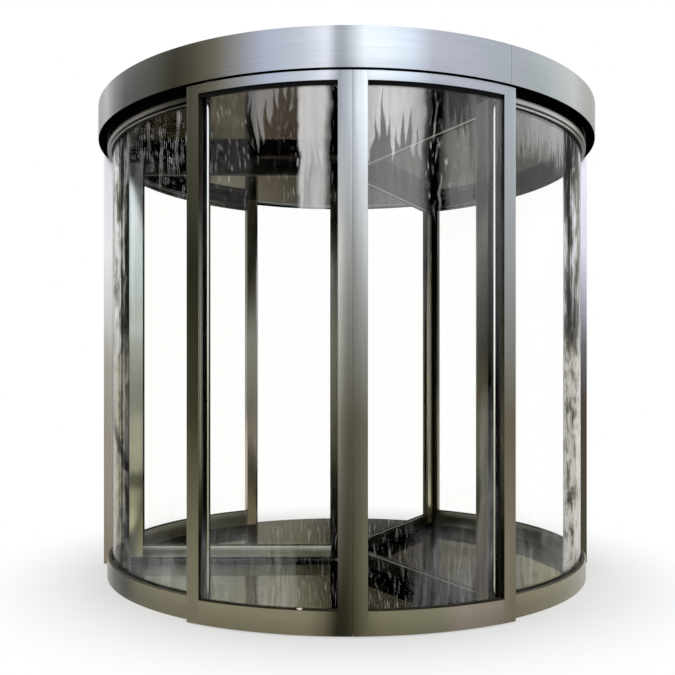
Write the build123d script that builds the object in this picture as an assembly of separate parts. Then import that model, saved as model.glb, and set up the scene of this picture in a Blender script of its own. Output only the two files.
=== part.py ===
from build123d import *
import math
import os

# Three-wing revolving door: curved glass drum, round canopy, and a pair of curved night-closing leaves
# that slide round the outside of the drum. Millimetres, +Z up. The origin is on the drum's axis at floor
# level. The front portal faces -Y. Headings are degrees from the front, positive toward +X.

# ---------------------------------------------------------------- drum and passage
DRUM_R = 1281.0              # outer face of sills, headers and portal posts
DRUM_WALL = 41.0             # radial depth of those members
CLEAR_HEIGHT = 2192.0        # floor level to the underside of the headers
SILL_HEIGHT = 100.0
HEADER_HEIGHT = 60.0
HEADER_FACE = 22.0           # height of the header's bright face, below its dark recess
HEADER_RECESS = 6.0
PORTAL_HALF_ANGLE = 28.9     # portal axis to the near face of a portal post
PORTAL_POST_WIDTH = 69.0
NOSING_R = 10.5              # round nosing on the opening side of each portal post
NOSING_PROUD = 6.0           # how far the nosing's axis stands out from the post's face
NOSING_SETBACK = 25.0        # drum's outer face to the nosing's axis
SIDE_POST_WIDTH = 130.0
SIDE_POST_PROUD = 6.0        # how far the facade face stands outside the fascia
SIDE_POST_ROUND = 3.0

# ---------------------------------------------------------------- glazing
DRUM_GLASS = 10.0
DRUM_GLASS_SETBACK = 25.0    # drum's outer face to the outer face of its glass
LEAF_GLASS = 8.0
WING_GLASS = 8.0
BITE = 12.0                  # depth of a glazing groove
EDGE_GAP = 2.0               # glass edge to the bottom of its groove, at the sides and the top
FACE_GAP = 2.0               # glass face to the groove's side, filled by the gasket

# ---------------------------------------------------------------- canopy
FASCIA_HEIGHT = 165.0
FASCIA_SHEET = 2.0
FASCIA_SEAM = 1.5            # open joint between two segments
FASCIA_FIRST_SEAM = 30.0     # heading of the seam in front, the others follow at equal steps
FASCIA_SEGMENTS = 3
SOFFIT_DROP = 10.0           # soffit below the ceiling
SOFFIT_SHEET = 3.0
CEILING_PANEL = 12.0
ROOF_SHEET = 3.0
ROOF_RECESS = 2.0            # roof's top below the fascia's top edge

# ---------------------------------------------------------------- floor
FLOOR_FINISH = 4.0
BACK_THRESHOLD_REACH = 27.0  # threshold's edge outside the drum's outer face
FRONT_THRESHOLD_REACH = 4.0
THRESHOLD_END_GAP = 3.0      # threshold's end to the nosing

# ---------------------------------------------------------------- rotor
WINGS = 3
FIRST_WING = 180.0           # direction of the first wing at rest, from +X
SHAFT_FLATS = 76.0           # across the flats of the six-sided centre shaft
INNER_STILE = 46.0
OUTER_STILE = 75.0
WING_FRAME = 40.0            # thickness of stiles and rails
WING_RAIL = 70.0
RUNNING_GAP = 6.0            # brush tips to floor, ceiling and drum wall
BRUSH_WIDTH = 12.0
BOTTOM_BRUSH = 6.0
TOP_BRUSH = 20.0
SIDE_BRUSH = 29.0
BRUSH_JOINT = 1.0            # gap between the upright brush and the level ones
BEARING_R = 60.0
TOP_BEARING = 28.0
BEARING_FLOOR = 1.0          # thickness under the shaft's lower spigot
SPIGOT_R = 20.0
SPIGOT_FIT = 0.05            # radial clearance of a spigot in its bearing
SPIGOT_HOLE_GAP = 5.0        # radial clearance of the spigot in the ceiling panel
SEAT_GAP = 0.3               # running clearance under the spigot and under a hanger

# ---------------------------------------------------------------- night-closing leaves
LEAF_GAP = 11.0              # drum's outer face to the leaf's inner face
LEAF_FRAME = 28.0            # radial thickness of the leaf
LEAF_LAP = 57.0              # how far a closed leaf laps over the portal post
LEAF_MEETING_GAP = 1.0
LEAF_FLOOR_GAP = 4.0
LEAF_SOFFIT_GAP = 8.0
LEAF_OUTER_STILE = 62.0
LEAF_MEETING_STILE = 58.0
LEAF_BOTTOM_RAIL = 99.0
LEAF_TOP_RAIL = 39.0
LEAF_TRAVEL = 31.0           # degrees round the drum's axis
HANGERS = 2
HANGER_INSET = 110.0         # leaf's edge to the middle of the nearest hanger
HANGER_PLATE = 6.0
HANGER_PLATE_WIDTH = 40.0
HANGER_HEAD = 22.0           # radial width of the head that runs on the track's lips
HANGER_HEAD_LENGTH = 70.0
HANGER_HEAD_HEIGHT = 20.0
TRACK_SIDE_GAP = 5.0         # hanger plate to the sides of the slot, and head to the track's walls
TRACK_LIP = 6.0
TRACK_DEPTH = 60.0           # soffit to the inside of the track's top
TRACK_TOP = 6.0
TRACK_WALL = 2.0             # track's outer wall, against the back of the fascia
TRACK_END = 4.0              # degrees of track beyond a leaf that is fully open

# ---------------------------------------------------------------- what follows from those sizes
DRUM_INNER_R = DRUM_R - DRUM_WALL
HEADER_BOTTOM = CLEAR_HEIGHT
CEILING_Z = HEADER_BOTTOM + HEADER_HEIGHT
SOFFIT_Z = CEILING_Z - SOFFIT_DROP
CANOPY_TOP = SOFFIT_Z + FASCIA_HEIGHT
ROOF_TOP = CANOPY_TOP - ROOF_RECESS
ROOF_Z = ROOF_TOP - ROOF_SHEET
SIDE_HALF = SIDE_POST_WIDTH / 2
DRUM_GLASS_R = DRUM_R - DRUM_GLASS_SETBACK - DRUM_GLASS / 2
NOSING_AXIS_R = DRUM_R - NOSING_SETBACK
BRUSH_TIP_R = DRUM_INNER_R - RUNNING_GAP
WING_BOTTOM = FLOOR_FINISH + RUNNING_GAP + BOTTOM_BRUSH
WING_TOP = CEILING_Z - RUNNING_GAP - TOP_BRUSH
LEAF_INNER_R = DRUM_R + LEAF_GAP
LEAF_OUTER_R = LEAF_INNER_R + LEAF_FRAME
LEAF_MID_R = LEAF_INNER_R + LEAF_FRAME / 2
LEAF_TOP = SOFFIT_Z - LEAF_SOFFIT_GAP
FASCIA_INNER_R = LEAF_MID_R + HANGER_HEAD / 2 + TRACK_SIDE_GAP + TRACK_WALL
FASCIA_R = FASCIA_INNER_R + FASCIA_SHEET
SIDE_FACE = FASCIA_R + SIDE_POST_PROUD


def turn(length, radius):
    """Degrees that a length takes up along a circle."""
    return math.degrees(length / radius)


POST_FAR_ANGLE = PORTAL_HALF_ANGLE + turn(PORTAL_POST_WIDTH, DRUM_R)
LEAF_EDGE_ANGLE = PORTAL_HALF_ANGLE + turn(LEAF_LAP, LEAF_MID_R)
TRACK_HALF_ANGLE = LEAF_EDGE_ANGLE + LEAF_TRAVEL + TRACK_END


# ---------------------------------------------------------------- shapes used throughout
def sector(inner_r, outer_r, start, end):
    """Plan of a ring between two radii and two headings."""
    outer = CenterArc((0, 0), outer_r, start - 90, end - start)
    inner = CenterArc((0, 0), inner_r, start - 90, end - start)
    return make_face([outer, Line(outer @ 1, inner @ 1), inner, Line(inner @ 0, outer @ 0)])


def upright(plan, low, high):
    """Solid that stands on a plan, between two heights."""
    return extrude(Pos(0, 0, low) * plan, high - low, dir=(0, 0, 1))


def ring(inner_r, outer_r, start, end, low, high):
    """Bent bar of rectangular section."""
    return upright(sector(inner_r, outer_r, start, end), low, high)


def block(low, high):
    """Box between two corners."""
    size = [b - a for a, b in zip(low, high)]
    middle = [(a + b) / 2 for a, b in zip(low, high)]
    return Pos(*middle) * Box(*size)


def disc(radius, low, high):
    """Upright cylinder on the drum's axis."""
    return Pos(0, 0, (low + high) / 2) * Cylinder(radius, high - low)


def save(node, *pieces):
    """Write one sub-part's solids to its STEP file."""
    solids = [solid for piece in pieces for solid in piece.solids()]
    shape = solids[0] if len(solids) == 1 else Compound(solids)
    export_step(shape, os.path.join("parts", node + ".step"))


def to_left(piece):
    """Copy on the other side of the door's own front-to-back plane."""
    return mirror(piece, about=Plane.YZ)


def to_back(piece):
    """Copy on the other side of the plane through the two side posts."""
    return mirror(piece, about=Plane.XZ)


def save_quarters(stem, front_right):
    """Write a piece of the front right quarter and its copies in the other three quarters."""
    save(stem + "_front_right", front_right)
    save(stem + "_front_left", to_left(front_right))
    save(stem + "_back_right", to_back(front_right))
    save(stem + "_back_left", to_back(to_left(front_right)))


# ---------------------------------------------------------------- drum wall
def behind_side_post(half_width):
    """Space taken out of a quarter where the side post stands."""
    return block((0, -half_width, -1), (2 * DRUM_R, half_width, CANOPY_TOP))


def wall_bar(low, high):
    """Bent bar from the portal post to the side post, the full depth of the wall."""
    return ring(DRUM_INNER_R, DRUM_R, POST_FAR_ANGLE, 90, low, high) - behind_side_post(SIDE_HALF)


def drum_groove():
    """Groove for the drum's glass, cut into sill, header and both posts of a quarter."""
    half = DRUM_GLASS / 2 + FACE_GAP
    start = POST_FAR_ANGLE - turn(BITE, DRUM_GLASS_R)
    whole = ring(DRUM_GLASS_R - half, DRUM_GLASS_R + half, start, 90, SILL_HEIGHT - BITE, HEADER_BOTTOM + BITE)
    return whole - behind_side_post(SIDE_HALF - BITE)


def drum_glass():
    """Bent pane of one quarter, standing on the bottom of the sill's groove."""
    half = DRUM_GLASS / 2
    start = POST_FAR_ANGLE - turn(BITE - EDGE_GAP, DRUM_GLASS_R)
    top = HEADER_BOTTOM + BITE - EDGE_GAP
    whole = ring(DRUM_GLASS_R - half, DRUM_GLASS_R + half, start, 90, SILL_HEIGHT - BITE, top)
    return whole - behind_side_post(SIDE_HALF - BITE + EDGE_GAP)


def portal_post():
    """Post beside the portal with a round nosing toward the opening."""
    axis_angle = PORTAL_HALF_ANGLE - turn(NOSING_PROUD, NOSING_AXIS_R)
    axis = PolarLocations(NOSING_AXIS_R, 1, axis_angle - 90).locations[0]
    body = sector(DRUM_INNER_R, DRUM_R, PORTAL_HALF_ANGLE, POST_FAR_ANGLE)
    return upright(body + axis * Circle(NOSING_R), 0, CEILING_Z) - drum_groove()


def side_post():
    """Flat post at the right end of the drum, whose outer face takes the facade."""
    post = block((DRUM_INNER_R, -SIDE_HALF, 0), (SIDE_FACE, SIDE_HALF, SOFFIT_Z))
    edges = post.edges().filter_by(Axis.Z).group_by(Axis.X)[-1]
    return fillet(edges, SIDE_POST_ROUND) - drum_groove() - to_back(drum_groove())


def header():
    """Bent bar over a quarter's glass, with a dark recess above its bright face."""
    bar = wall_bar(HEADER_BOTTOM, CEILING_Z) - drum_groove()
    recess_r = DRUM_R - HEADER_RECESS
    return bar - ring(recess_r, DRUM_R + 1, 0, 90, HEADER_BOTTOM + HEADER_FACE, CEILING_Z)


# ---------------------------------------------------------------- canopy
def fascia(index):
    """One segment of the fascia sheet, with half an open joint at each end."""
    step = 360 / FASCIA_SEGMENTS
    half_seam = turn(FASCIA_SEAM / 2, FASCIA_R)
    start = FASCIA_FIRST_SEAM + index * step
    return ring(FASCIA_INNER_R, FASCIA_R, start + half_seam, start + step - half_seam, SOFFIT_Z, CANOPY_TOP)


def leaf_track():
    """Channel with two lips over the front, in which both leaves hang."""
    plate_half = HANGER_PLATE / 2 + TRACK_SIDE_GAP
    head_half = HANGER_HEAD / 2 + TRACK_SIDE_GAP
    lip_top = SOFFIT_Z + TRACK_LIP
    track_top = SOFFIT_Z + TRACK_DEPTH
    reach = TRACK_HALF_ANGLE
    whole = ring(DRUM_R, FASCIA_INNER_R, -reach, reach, SOFFIT_Z, track_top + TRACK_TOP)
    slot = ring(LEAF_MID_R - plate_half, LEAF_MID_R + plate_half, -reach - 1, reach + 1, SOFFIT_Z, lip_top)
    channel = ring(LEAF_MID_R - head_half, LEAF_MID_R + head_half, -reach - 1, reach + 1, lip_top, track_top)
    return whole - slot - channel


def soffit():
    """Plain soffit over the rest of the drum, between the ends of the track."""
    return ring(DRUM_R, FASCIA_INNER_R, TRACK_HALF_ANGLE, 360 - TRACK_HALF_ANGLE, SOFFIT_Z, SOFFIT_Z + SOFFIT_SHEET)


def ring_beam():
    """Round beam on the headers and posts, which carries ceiling, roof, track and soffit."""
    return disc(DRUM_R, CEILING_Z, ROOF_Z) - disc(DRUM_INNER_R, CEILING_Z, ROOF_Z)


def ceiling():
    """Ceiling panel inside the ring beam, with a hole for the shaft's spigot."""
    top = CEILING_Z + CEILING_PANEL
    return disc(DRUM_INNER_R, CEILING_Z, top) - disc(SPIGOT_R + SPIGOT_HOLE_GAP, CEILING_Z, top)


# ---------------------------------------------------------------- floor
def floor_disc():
    """Polished floor inside the drum, round the floor bearing."""
    return disc(DRUM_INNER_R, 0, FLOOR_FINISH) - disc(BEARING_R, 0, FLOOR_FINISH)


def threshold(reach):
    """Floor finish in the front portal, from the drum's inner face outward."""
    nosing_edge = PORTAL_HALF_ANGLE - turn(NOSING_PROUD + NOSING_R, NOSING_AXIS_R)
    half_angle = nosing_edge - turn(THRESHOLD_END_GAP, DRUM_INNER_R)
    return ring(DRUM_INNER_R, DRUM_R + reach, -half_angle, half_angle, 0, FLOOR_FINISH)


def floor_bearing():
    """Cup in the floor that carries the rotor."""
    bore = disc(SPIGOT_R + SPIGOT_FIT, BEARING_FLOOR, FLOOR_FINISH)
    return disc(BEARING_R, 0, FLOOR_FINISH) - bore


def top_bearing():
    """Bearing on the ceiling panel that holds the shaft's upper spigot."""
    low = CEILING_Z + CEILING_PANEL
    high = low + TOP_BEARING
    return disc(BEARING_R, low, high) - disc(SPIGOT_R + SPIGOT_FIT, low, high)


# ---------------------------------------------------------------- rotor
def center_shaft():
    """Six-sided shaft whose flats take the wings, with a spigot at each end."""
    low = FLOOR_FINISH + RUNNING_GAP
    high = CEILING_Z - RUNNING_GAP
    hexagon = RegularPolygon(SHAFT_FLATS / 2, 6, major_radius=False, rotation=30)
    spigot_top = CEILING_Z + CEILING_PANEL + TOP_BEARING - EDGE_GAP
    lower = disc(SPIGOT_R, BEARING_FLOOR + SEAT_GAP, low)
    upper = disc(SPIGOT_R, high, spigot_top)
    return upright(hexagon, low, high) + lower + upper


WING_START = SHAFT_FLATS / 2
INNER_STILE_END = WING_START + INNER_STILE
WING_FRAME_END = BRUSH_TIP_R - SIDE_BRUSH
OUTER_STILE_START = WING_FRAME_END - OUTER_STILE
WING_RAIL_TOP = WING_BOTTOM + WING_RAIL
WING_HEAD_BOTTOM = WING_TOP - WING_RAIL


def wing_bar(start, end, low, high):
    """Straight bar of a wing that points along +X."""
    return block((start, -WING_FRAME / 2, low), (end, WING_FRAME / 2, high))


def wing_groove():
    """Groove for a wing's glass, cut into its stiles and rails."""
    half = WING_GLASS / 2 + FACE_GAP
    low = (INNER_STILE_END - BITE, -half, WING_RAIL_TOP - BITE)
    high = (OUTER_STILE_START + BITE, half, WING_HEAD_BOTTOM + BITE)
    return block(low, high)


def wing_stiles():
    """Inner stile on a flat of the shaft, and outer stile."""
    inner = wing_bar(WING_START, INNER_STILE_END, WING_BOTTOM, WING_TOP)
    outer = wing_bar(OUTER_STILE_START, WING_FRAME_END, WING_BOTTOM, WING_TOP)
    return [inner - wing_groove(), outer - wing_groove()]


def wing_rails():
    """Bottom and top rails between the stiles."""
    bottom = wing_bar(INNER_STILE_END, OUTER_STILE_START, WING_BOTTOM, WING_RAIL_TOP)
    top = wing_bar(INNER_STILE_END, OUTER_STILE_START, WING_HEAD_BOTTOM, WING_TOP)
    return [bottom - wing_groove(), top - wing_groove()]


def wing_glass():
    """Flat pane, standing on the bottom of the rail's groove."""
    half = WING_GLASS / 2
    grip = BITE - EDGE_GAP
    low = (INNER_STILE_END - grip, -half, WING_RAIL_TOP - BITE)
    high = (OUTER_STILE_START + grip, half, WING_HEAD_BOTTOM + grip)
    return [block(low, high)]


def wing_brushes():
    """Brush seals under, over and beyond the wing's frame."""
    half = BRUSH_WIDTH / 2
    level_end = WING_FRAME_END - BRUSH_JOINT
    under = block((WING_START, -half, WING_BOTTOM - BOTTOM_BRUSH), (level_end, half, WING_BOTTOM))
    over = block((WING_START, -half, WING_TOP), (level_end, half, WING_TOP + TOP_BRUSH))
    low = (WING_FRAME_END, -half, WING_BOTTOM - BOTTOM_BRUSH)
    beyond = block(low, (BRUSH_TIP_R, half, WING_TOP + TOP_BRUSH))
    return [under, over, beyond]


# ---------------------------------------------------------------- night-closing leaves
LEAF_START_ANGLE = turn(LEAF_MEETING_GAP / 2, LEAF_MID_R)
MEETING_STILE_ANGLE = LEAF_START_ANGLE + turn(LEAF_MEETING_STILE, LEAF_MID_R)
OUTER_STILE_ANGLE = LEAF_EDGE_ANGLE - turn(LEAF_OUTER_STILE, LEAF_MID_R)
LEAF_RAIL_TOP = LEAF_FLOOR_GAP + LEAF_BOTTOM_RAIL
LEAF_HEAD_BOTTOM = LEAF_TOP - LEAF_TOP_RAIL


def leaf_bar(start, end, low, high):
    """Bent bar of the right leaf."""
    return ring(LEAF_INNER_R, LEAF_OUTER_R, start, end, low, high)


def leaf_groove():
    """Groove for the right leaf's glass, cut into its stiles and rails."""
    half = LEAF_GLASS / 2 + FACE_GAP
    grip = turn(BITE, LEAF_MID_R)
    start = MEETING_STILE_ANGLE - grip
    end = OUTER_STILE_ANGLE + grip
    return ring(LEAF_MID_R - half, LEAF_MID_R + half, start, end, LEAF_RAIL_TOP - BITE, LEAF_HEAD_BOTTOM + BITE)


def leaf_stiles():
    """Meeting stile on the portal's axis and outer stile in front of the portal post."""
    meeting = leaf_bar(LEAF_START_ANGLE, MEETING_STILE_ANGLE, LEAF_FLOOR_GAP, LEAF_TOP)
    outer = leaf_bar(OUTER_STILE_ANGLE, LEAF_EDGE_ANGLE, LEAF_FLOOR_GAP, LEAF_TOP)
    return [meeting - leaf_groove(), outer - leaf_groove()]


def leaf_rails():
    """Bottom and top rails between the stiles."""
    bottom = leaf_bar(MEETING_STILE_ANGLE, OUTER_STILE_ANGLE, LEAF_FLOOR_GAP, LEAF_RAIL_TOP)
    top = leaf_bar(MEETING_STILE_ANGLE, OUTER_STILE_ANGLE, LEAF_HEAD_BOTTOM, LEAF_TOP)
    return [bottom - leaf_groove(), top - leaf_groove()]


def leaf_glass():
    """Bent pane, standing on the bottom of the rail's groove."""
    half = LEAF_GLASS / 2
    grip = turn(BITE - EDGE_GAP, LEAF_MID_R)
    start = MEETING_STILE_ANGLE - grip
    end = OUTER_STILE_ANGLE + grip
    top = LEAF_HEAD_BOTTOM + BITE - EDGE_GAP
    return [ring(LEAF_MID_R - half, LEAF_MID_R + half, start, end, LEAF_RAIL_TOP - BITE, top)]


def leaf_hanger(heading):
    """Plate on the leaf's top edge with a head that rests on the track's lips."""
    head_low = SOFFIT_Z + TRACK_LIP + SEAT_GAP
    plate_half = turn(HANGER_PLATE_WIDTH / 2, LEAF_MID_R)
    head_half = turn(HANGER_HEAD_LENGTH / 2, LEAF_MID_R)
    plate_low_r = LEAF_MID_R - HANGER_PLATE / 2
    head_low_r = LEAF_MID_R - HANGER_HEAD / 2
    plate = ring(plate_low_r, plate_low_r + HANGER_PLATE, heading - plate_half, heading + plate_half, LEAF_TOP, head_low)
    head_high = head_low + HANGER_HEAD_HEIGHT
    head = ring(head_low_r, head_low_r + HANGER_HEAD, heading - head_half, heading + head_half, head_low, head_high)
    return plate + head


def leaf_hangers():
    """Hangers spread evenly along the right leaf."""
    inset = turn(HANGER_INSET, LEAF_MID_R)
    first = LEAF_START_ANGLE + inset
    step = (LEAF_EDGE_ANGLE - inset - first) / (HANGERS - 1)
    return [leaf_hanger(first + index * step) for index in range(HANGERS)]


# ---------------------------------------------------------------- write every sub-part
os.makedirs("parts", exist_ok=True)

save_quarters("sill", wall_bar(0, SILL_HEIGHT) - drum_groove())
save_quarters("header", header())
save_quarters("drum_glass", drum_glass())
save_quarters("portal_post", portal_post())
save("side_post_right", side_post())
save("side_post_left", to_left(side_post()))

for index, name in enumerate(["right", "back_left", "front"]):
    save("fascia_" + name, fascia(index))
save("leaf_track", leaf_track())
save("soffit", soffit())
save("ring_beam", ring_beam())
save("ceiling", ceiling())
save("roof_cover", disc(FASCIA_INNER_R, ROOF_Z, ROOF_TOP))

save("floor_disc", floor_disc())
save("threshold_front", threshold(FRONT_THRESHOLD_REACH))
save("threshold_back", to_back(threshold(BACK_THRESHOLD_REACH)))
save("floor_bearing", floor_bearing())
save("top_bearing", top_bearing())

save("center_shaft", center_shaft())
for index in range(WINGS):
    turned = Rot(0, 0, FIRST_WING + index * 360 / WINGS)
    stem = "wing_" + str(index + 1)
    save(stem + "_stiles", *[turned * piece for piece in wing_stiles()])
    save(stem + "_rails", *[turned * piece for piece in wing_rails()])
    save(stem + "_glass", *[turned * piece for piece in wing_glass()])
    save(stem + "_brushes", *[turned * piece for piece in wing_brushes()])

for name, pieces in [
    ("stiles", leaf_stiles()),
    ("rails", leaf_rails()),
    ("glass", leaf_glass()),
    ("hangers", leaf_hangers()),
]:
    save("leaf_right_" + name, *pieces)
    save("leaf_left_" + name, *[to_left(piece) for piece in pieces])
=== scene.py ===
# %% [markdown]
# # A three-wing revolving door in brushed steel and curved glass
# The door stands on the drum's axis at floor level. +Z is up and the front faces -Y. The CAD model gives
# every size, and this lesson gives each piece its real edges, seals and finish.

# %% Load the frame
import bpy
import bmesh
import random
from math import atan2, cos, degrees, pi, radians, sin
from mathutils import Matrix, Vector


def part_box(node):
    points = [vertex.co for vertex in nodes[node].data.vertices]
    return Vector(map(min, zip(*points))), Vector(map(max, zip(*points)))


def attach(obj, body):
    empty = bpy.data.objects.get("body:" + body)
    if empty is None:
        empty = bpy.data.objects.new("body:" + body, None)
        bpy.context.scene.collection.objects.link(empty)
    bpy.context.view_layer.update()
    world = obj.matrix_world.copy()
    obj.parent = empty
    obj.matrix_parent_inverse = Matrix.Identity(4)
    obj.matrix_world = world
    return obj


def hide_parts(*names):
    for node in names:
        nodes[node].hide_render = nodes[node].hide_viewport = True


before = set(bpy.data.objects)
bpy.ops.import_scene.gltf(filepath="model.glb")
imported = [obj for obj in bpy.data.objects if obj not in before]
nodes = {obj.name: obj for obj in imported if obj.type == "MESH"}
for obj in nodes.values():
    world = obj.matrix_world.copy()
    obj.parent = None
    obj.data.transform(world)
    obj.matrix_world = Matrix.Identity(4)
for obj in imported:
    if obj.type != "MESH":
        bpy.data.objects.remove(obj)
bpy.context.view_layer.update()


def new_object(name, data):
    """Object with some data, linked to the scene."""
    made = bpy.data.objects.new(name, data)
    bpy.context.scene.collection.objects.link(made)
    return made


# %% [markdown]
# ## Camera
# A standing person looks at the door from about four and a half metres. The camera stays level, so that the
# posts stay upright, and a small shift lifts the frame in the way that a view camera does.

# %% Camera
camera_data = bpy.data.cameras.new("camera")
camera = new_object("camera", camera_data)
camera.location = (-0.0945, -4.442, 1.0245)
camera.rotation_euler = (radians(90), 0, radians(-0.53))
camera_data.lens = 42.36
camera_data.shift_x = 0.0019
camera_data.shift_y = 0.0588
bpy.context.scene.camera = camera
print("camera", tuple(round(v, 3) for v in camera.location), camera_data.lens)

# %% [markdown]
# ## Sizes read from the frame
# Sizes come from the boxes of the CAD nodes, so every new piece starts where the CAD piece is. A ring's
# outer radius is how far its box reaches along X, or in front of the axis for a ring that is only a front
# arc.

# %% Sizes
MM = 0.001
SILL_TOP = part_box("sill_front_left")[1].z
HEADER_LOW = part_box("header_front_left")[0].z
CEILING_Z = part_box("ceiling")[0].z
SOFFIT_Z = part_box("fascia_front")[0].z
CANOPY_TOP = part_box("fascia_front")[1].z
FLOOR_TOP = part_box("floor_disc")[1].z
INNER_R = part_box("floor_disc")[1].x
DRUM_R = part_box("ring_beam")[1].x
FASCIA_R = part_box("roof_cover")[1].x + 2 * MM
GLASS_R = DRUM_R - 30 * MM
LEAF_DEPTH, LEAF_RAIL, LEAF_HEAD = 28 * MM, 99 * MM, 39 * MM
LEAF_OUTER_R = -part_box("leaf_left_stiles")[0].y
LEAF_INNER_R = LEAF_OUTER_R - LEAF_DEPTH
LEAF_MID_R = LEAF_OUTER_R - LEAF_DEPTH / 2
LEAF_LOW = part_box("leaf_left_stiles")[0].z
LEAF_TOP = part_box("leaf_left_stiles")[1].z
LEAF_RAIL_TOP = LEAF_LOW + LEAF_RAIL
LEAF_HEAD_LOW = LEAF_TOP - LEAF_HEAD
QUARTERS = {"front_right": (1, 0), "front_left": (-1, 0), "back_right": (-1, 180), "back_left": (1, 180)}
WINGS = ("wing_1", "wing_2", "wing_3")
print("drum", DRUM_R, "fascia", FASCIA_R, "leaf", LEAF_OUTER_R, LEAF_LOW, LEAF_TOP)

# %% [markdown]
# ## Shader helpers
# Every finish is a node tree. A Level stands for a value in such a tree, and arithmetic on it adds the
# nodes, so a pattern can be written as a formula. Colors are written as they look on a screen and turned
# into the linear light that the renderer works in.

# %% Levels
class Level:
    """A value in a node tree, with arithmetic that adds nodes."""

    def __init__(self, tree, socket):
        self.tree, self.socket = tree, socket

    def math(self, operation, *others, clamp=False):
        """Result of a math node that takes this level first."""
        return level_from(self.tree, "ShaderNodeMath", (self, *others), operation=operation, use_clamp=clamp)

    def __add__(self, other):
        return self.math("ADD", other)

    def __sub__(self, other):
        return self.math("SUBTRACT", other)

    def __mul__(self, other):
        return self.math("MULTIPLY", other)

    def __truediv__(self, other):
        return self.math("DIVIDE", other)

    def __abs__(self):
        return self.math("ABSOLUTE")

    def most(self, other, clamp=False):
        """The larger of two levels."""
        return self.math("MAXIMUM", other, clamp=clamp)

    def spread(self, low, high, to_low=0.0, to_high=1.0, kind="LINEAR"):
        """The level stretched from one range to another and held at the ends."""
        inputs = (self, low, high, to_low, to_high)
        return level_from(self.tree, "ShaderNodeMapRange", inputs, interpolation_type=kind)

    def to(self, socket):
        """Link the level to an input."""
        self.tree.links.new(self.socket, socket)


def add_node(tree, kind, inputs=(), **settings):
    """Add a node, set its properties, and link or set its inputs."""
    made = tree.nodes.new(kind)
    for key, value in settings.items():
        setattr(made, key, value)
    named = inputs if isinstance(inputs, dict) else dict(enumerate(inputs))
    for key, value in named.items():
        if isinstance(value, Level):
            value.to(made.inputs[key])
        else:
            made.inputs[key].default_value = value
    return made


def level_from(tree, kind, inputs=(), output=0, **settings):
    """Add a node and return one of its outputs."""
    return Level(tree, add_node(tree, kind, inputs, **settings).outputs[output])


def split(level, kind="ShaderNodeSeparateXYZ"):
    """Three parts of a vector or a color."""
    return [Level(level.tree, socket) for socket in add_node(level.tree, kind, (level,)).outputs]


print("levels ready")

# %% Node helpers
def paint(red, green, blue):
    """Linear color of a screen color from 0 to 255."""
    parts = [value / 255 for value in (red, green, blue)]
    return tuple(v / 12.92 if v <= 0.04045 else ((v + 0.055) / 1.055) ** 2.4 for v in parts) + (1,)


def fill_ramp(level, stops):
    """Ramp node along a level from 0 to 1."""
    made = add_node(level.tree, "ShaderNodeValToRGB", (level,))
    elements = made.color_ramp.elements
    elements[0].position, elements[0].color = stops[0]
    elements[1].position, elements[1].color = stops[-1]
    for position, color in stops[1:-1]:
        elements.new(position).color = color
    return made


def color_ramp(level, stops):
    """Color that changes along a level from 0 to 1."""
    return Level(level.tree, fill_ramp(level, stops).outputs["Color"])


def four_levels(level, stops):
    """Four numbers that change along a level, kept as the red, green, blue and alpha of one ramp."""
    color, alpha = [Level(level.tree, socket) for socket in fill_ramp(level, stops).outputs]
    return [*split(color, "ShaderNodeSeparateColor"), alpha]


def blend_colors(factor, first, second, kind="MIX"):
    """Mix two colors."""
    inputs = {0: factor, 6: first, 7: second}
    return level_from(factor.tree, "ShaderNodeMix", inputs, 2, data_type="RGBA", blend_type=kind)


def scale_color(color, gain):
    """Color times a gain."""
    return level_from(gain.tree, "ShaderNodeVectorMath", {0: color, 3: gain}, operation="SCALE")


def coordinates(tree, kind="Object"):
    """Object coordinates, or another kind."""
    return level_from(tree, "ShaderNodeTexCoord", output=kind)


def noise(vector, scale, detail=2.0, roughness=0.5):
    """Noise from 0 to 1 on a vector in metres."""
    inputs = {"Vector": vector, "Scale": scale, "Detail": detail, "Roughness": roughness}
    return level_from(vector.tree, "ShaderNodeTexNoise", inputs)


def bump(height, distance):
    """Normal from a height."""
    return level_from(height.tree, "ShaderNodeBump", {"Height": height, "Distance": distance})


def new_group(name, outputs, inputs=None):
    """Empty node group, from the kinds of its named outputs and inputs."""
    tree = bpy.data.node_groups.new(name, "ShaderNodeTree")
    for way, sockets in (("INPUT", inputs or {}), ("OUTPUT", outputs)):
        for label, kind in sockets.items():
            tree.interface.new_socket(label, in_out=way, socket_type="NodeSocket" + kind)
    given = {socket.name: Level(tree, socket) for socket in tree.nodes.new("NodeGroupInput").outputs}
    return tree, given, tree.nodes.new("NodeGroupOutput").inputs


def use_group(tree, group, inputs=()):
    """Place a node group in a tree and return its named outputs."""
    made = add_node(tree, "ShaderNodeGroup", inputs, node_tree=group)
    return {socket.name: Level(tree, socket) for socket in made.outputs}


def new_material(name, **plain):
    """Material with a Principled BSDF whose plain inputs are set."""
    material = bpy.data.materials.new(name)
    material.use_nodes = True
    shader = material.node_tree.nodes["Principled BSDF"]
    for key, value in plain.items():
        shader.inputs[key.replace("_", " ")].default_value = value
    return material, material.node_tree, shader.inputs


print("node helpers ready")

# %% [markdown]
# ## Where a point lies on the drum
# Brushing runs round the ring on rails and up and down on posts, so the patterns need the length round the
# ring, the radius and the height instead of x, y and z. One group works them out from Object coordinates.
# It also gives how far to the side a point lies, from 0 at the left to 1 at the right.

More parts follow.
